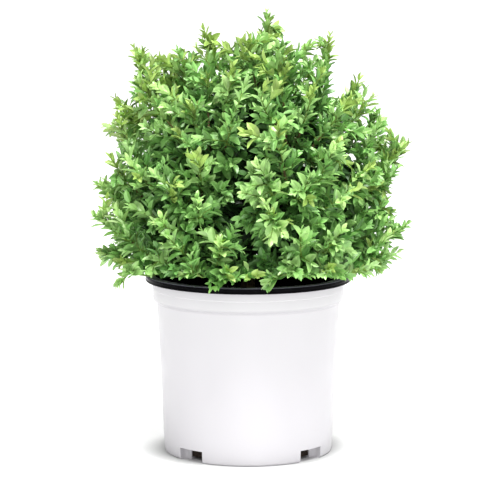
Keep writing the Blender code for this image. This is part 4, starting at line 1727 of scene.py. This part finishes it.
def leaves_on(twig, settings, shaker):
    """The leaves of one twig, from its tip back: (pairs back from the tip, leaf)."""
    length = twig.length()
    covered = min(length * LEAFY_SHARE, LEAFY_TWIG if twig.order == 1 else LEAFY_SHOOT)
    turn = shaker.uniform(0.0, math.pi)
    vigour = shaker.uniform(*VIGOUR)
    inner = max(0.0, depth_of(twig) - INNER_FROM)
    found = []
    distance, pair = FIRST_PAIR, 0
    while distance < covered:
        base, along = twig.back_along(distance)
        side, face = frame_axes(along)
        open_share = min(1.0, pair / OPENING_PAIRS)
        spread = math.radians(NEWEST_SPREAD + FURTHER_SPREAD * open_share)
        grown = NEWEST_SIZE + (1.0 - NEWEST_SIZE) * min(1.0, pair / GROWING_PAIRS)
        for way in (0.0, math.pi):
            angle = turn + pair * math.pi / 2 + way + shaker.uniform(-PAIR_SHAKE, PAIR_SHAKE)
            out = math.cos(angle) * side + math.sin(angle) * face
            lean = spread * shaker.uniform(*SPREAD_SHAKE)
            leaf = (math.cos(lean) * along + math.sin(lean) * out).normalized()
            upper = along + FACE_UP * UP
            upper += Vector([shaker.uniform(-FACE_SHAKE, FACE_SHAKE) for _ in range(3)])
            upper = (upper - upper.dot(leaf) * leaf).normalized()
            height = max(0.0, base.z - FORK.z) / TOP_REACH
            front = max(0.0, -base.y) / SIDE_REACH * (1.0 - height)
            size = settings.length * vigour * grown * shaker.uniform(*SIZE_SHAKE)
            size *= SMALL_LEAF + (LARGE_LEAF - SMALL_LEAF) * front + INNER_GROWTH * inner
            broad = BROAD_SHARE + BROAD_RISE * front
            kind = 1 if shaker.random() < broad else shaker.choice((0, 2))
            for room in ROOMS:
                made = Leaf(base, leaf, upper, room * size, kind)
                if made.fits():
                    found.append((pair, made))
                    break
        spacing = NEWEST_SPACING + (1.0 - NEWEST_SPACING) * open_share
        distance += settings.spacing * spacing * vigour
        pair += 1
    return found


def tint_of(twig, pair, mood):
    """Which tint a leaf has: young at some tips, paler on the outside and up high by painted light,
    darker within by painted shade.
    """
    height = max(0.0, twig.points[-1].z - FORK.z) / TOP_REACH
    depth = depth_of(twig)
    if pair < YOUNG_PAIRS and depth < YOUNG_DEPTH and mood < YOUNG_GAIN * height - YOUNG_START:
        return 0
    # Painted shade and light: depth within the crown darkens the tint, and height pales it
    tone = TONE_START + mood + TONE_DEPTH_SHADE * depth + TONE_HEIGHT_LIGHT * height
    tone += TONE_PAIR * (pair - YOUNG_PAIRS)
    return min(len(TINTS) - 1, max(1, int(round(tone))))


class BOXWOOD_OT_leaves(bpy.types.Operator):
    """Set the leaves on the twigs and shoots, spray by spray"""

    bl_idname = "boxwood.leaves"
    bl_label = "Build leaves"

    def execute(self, context):
        settings = context.scene.boxwood.leaves
        twig_settings = context.scene.boxwood.twigs
        _, twigs, fine = grown_crown(twig_settings.shoots, twig_settings.radius)
        shaker = random.Random(CROWN_SEED + 2)
        sprays = [[] for _ in TINTS]
        for twig in twigs + fine:
            mood = shaker.gauss(0.0, MOOD_RANGE)
            for pair, leaf in leaves_on(twig, settings, shaker):
                sprays[tint_of(twig, pair, mood)].append(leaf)
        shapes = bpy.data.collections.new("leaf_shapes")
        for name, droop, fold, width in LEAF_KINDS:
            shape = leaf_shape("leaf_shape_" + name, droop, fold, width)
            context.scene.collection.objects.unlink(shape)
            shapes.objects.link(shape)
        tree = leaf_tree()
        for tint, leaves in zip(TINTS, sprays):
            if not leaves:
                raise RuntimeError(f"no leaf has the tint {tint}")
            self.build(tint, leaves, shapes, tree, getattr(settings, tint))
        for shape in list(shapes.objects):
            bpy.data.objects.remove(shape)
        bpy.data.collections.remove(shapes)
        return {"FINISHED"}

    def build(self, tint, leaves, shapes, tree, colour):
        name = "leaves_" + tint
        mesh = bpy.data.meshes.new(name)
        mesh.from_pydata([leaf.base for leaf in leaves], [], [])
        for field, kind, values in (
            ("turn", "QUATERNION", [part for leaf in leaves for part in leaf.turn]),
            ("size", "FLOAT", [leaf.length for leaf in leaves]),
            ("kind", "INT", [leaf.kind for leaf in leaves]),
        ):
            mesh.attributes.new(field, kind, "POINT").data.foreach_set("value", values)
        finish = leaf_material(name, colour, 0.40)
        piece = grown_mesh(link(name, mesh), tree, {"Leaves": shapes, "Material": finish})
        dress(piece, "leaf_green", *FOLIAGE)


# ---- stage


CAMERA_DISTANCE = 2.5
CAMERA_HEIGHT = 0.563
CAMERA_PITCH = math.radians(7.57)
CAMERA_LENS = 159.0
CAMERA_SENSOR = 36.0
CAMERA_SHIFT = 0.0036
LIT_POINT = Vector((0.0, 0.0, 0.3))
KEY_SIZE = 0.9
KEY_PLACE = Vector((0.28, -0.78, 2.35))
SIDE_SIZE = 1.4
SIDE_PLACE = Vector((0.2, -2.4, 1.0))
PAPER = (0.73, 0.73, 0.73)
PAPER_LIGHT = (0.75, 0.75, 0.75)
# (distance from the pot's middle, how much the white floor glows there): painted light that washes
# the lamps' shadows off the floor, all but a ring at the pot's foot
FLOOR_GLOW = ((0.098, 0.0), (0.125, 0.40), (1.0, 0.60))


def make_floor(radius):
    work = bmesh.new()
    bmesh.ops.create_circle(work, cap_ends=True, segments=96, radius=radius)
    floor = object_from("floor", work)
    look = Look("floor_paper", 0.7)
    look.colour(look.ramp(look.noise(3.0), ((0.3, PAPER), (0.7, PAPER_LIGHT))))
    # Painted light: the floor glows, from nothing at the pot's foot up to its full glow farther out
    look.set(Emission_Color=(*WHITE, 1.0))
    length = node(look.tree, "ShaderNodeVectorMath", {0: look.place}, operation="LENGTH")
    stops = [(away, (glow, glow, glow)) for away, glow in FLOOR_GLOW]
    glow = look.ramp(length.outputs["Value"], stops)
    look.tree.links.new(glow, look.shader.inputs["Emission Strength"])
    floor.data.materials.append(look.material)
    return floor


def area_light(name, size, power, place):
    lamp = bpy.data.lights.new(name, "AREA")
    lamp.shape = "DISK"
    lamp.size = size
    lamp.energy = power
    made = link(name, lamp)
    made.location = place
    made.rotation_euler = (LIT_POINT - place).to_track_quat("-Z", "Y").to_euler()
    return made


class BOXWOOD_OT_stage(bpy.types.Operator):
    """Set the plant on a white floor under soft studio light, with a camera in front"""

    bl_idname = "boxwood.stage"
    bl_label = "Build stage"

    def execute(self, context):
        settings = context.scene.boxwood.stage
        floor = make_floor(settings.floor_radius)
        key = area_light("key_light", KEY_SIZE, settings.key, KEY_PLACE)
        side = area_light("side_light", SIDE_SIZE, settings.side, SIDE_PLACE)
        world = bpy.data.worlds.new("white_surround")
        world.use_nodes = True
        background = world.node_tree.nodes["Background"]
        background.inputs["Color"].default_value = (*WHITE, 1.0)
        background.inputs["Strength"].default_value = settings.surround
        context.scene.world = world
        context.scene.view_settings.view_transform = "Standard"
        context.scene.view_settings.look = "Medium High Contrast"
        camera = bpy.data.cameras.new("camera")
        camera.lens = CAMERA_LENS
        camera.sensor_width = CAMERA_SENSOR
        camera.shift_x = CAMERA_SHIFT
        eye = link("camera", camera)
        eye.location = (0.0, -CAMERA_DISTANCE, CAMERA_HEIGHT)
        eye.rotation_euler = (math.pi / 2 - CAMERA_PITCH, 0.0, 0.0)
        context.scene.camera = eye
        return {"FINISHED"}


# ---- panel, registration and run

STEPS = (
    BOXWOOD_OT_pot,
    BOXWOOD_OT_mix,
    BOXWOOD_OT_bark,
    BOXWOOD_OT_twigs,
    BOXWOOD_OT_leaves,
    BOXWOOD_OT_stage,
)


class BOXWOOD_PT_steps(bpy.types.Panel):
    """The steps that dress the boxwood, in their order"""

    bl_idname = "BOXWOOD_PT_steps"
    bl_label = "Boxwood"
    bl_space_type = "VIEW_3D"
    bl_region_type = "UI"
    bl_category = "Boxwood"

    def draw(self, context):
        for step in STEPS:
            self.layout.operator(step.bl_idname)


CLASSES = (
    PotSettings,
    MixSettings,
    BarkSettings,
    TwigSettings,
    LeafSettings,
    StageSettings,
    BoxwoodSettings,
    *STEPS,
    BOXWOOD_PT_steps,
)


def register():
    for kind in CLASSES:
        bpy.utils.register_class(kind)
    bpy.types.Scene.boxwood = PointerProperty(type=BoxwoodSettings)


def unregister():
    del bpy.types.Scene.boxwood
    for kind in reversed(CLASSES):
        bpy.utils.unregister_class(kind)


def main():
    register()
    for step in STEPS:
        group, name = step.bl_idname.split(".")
        getattr(getattr(bpy.ops, group), name)()


if __name__ == "__main__":
    main()
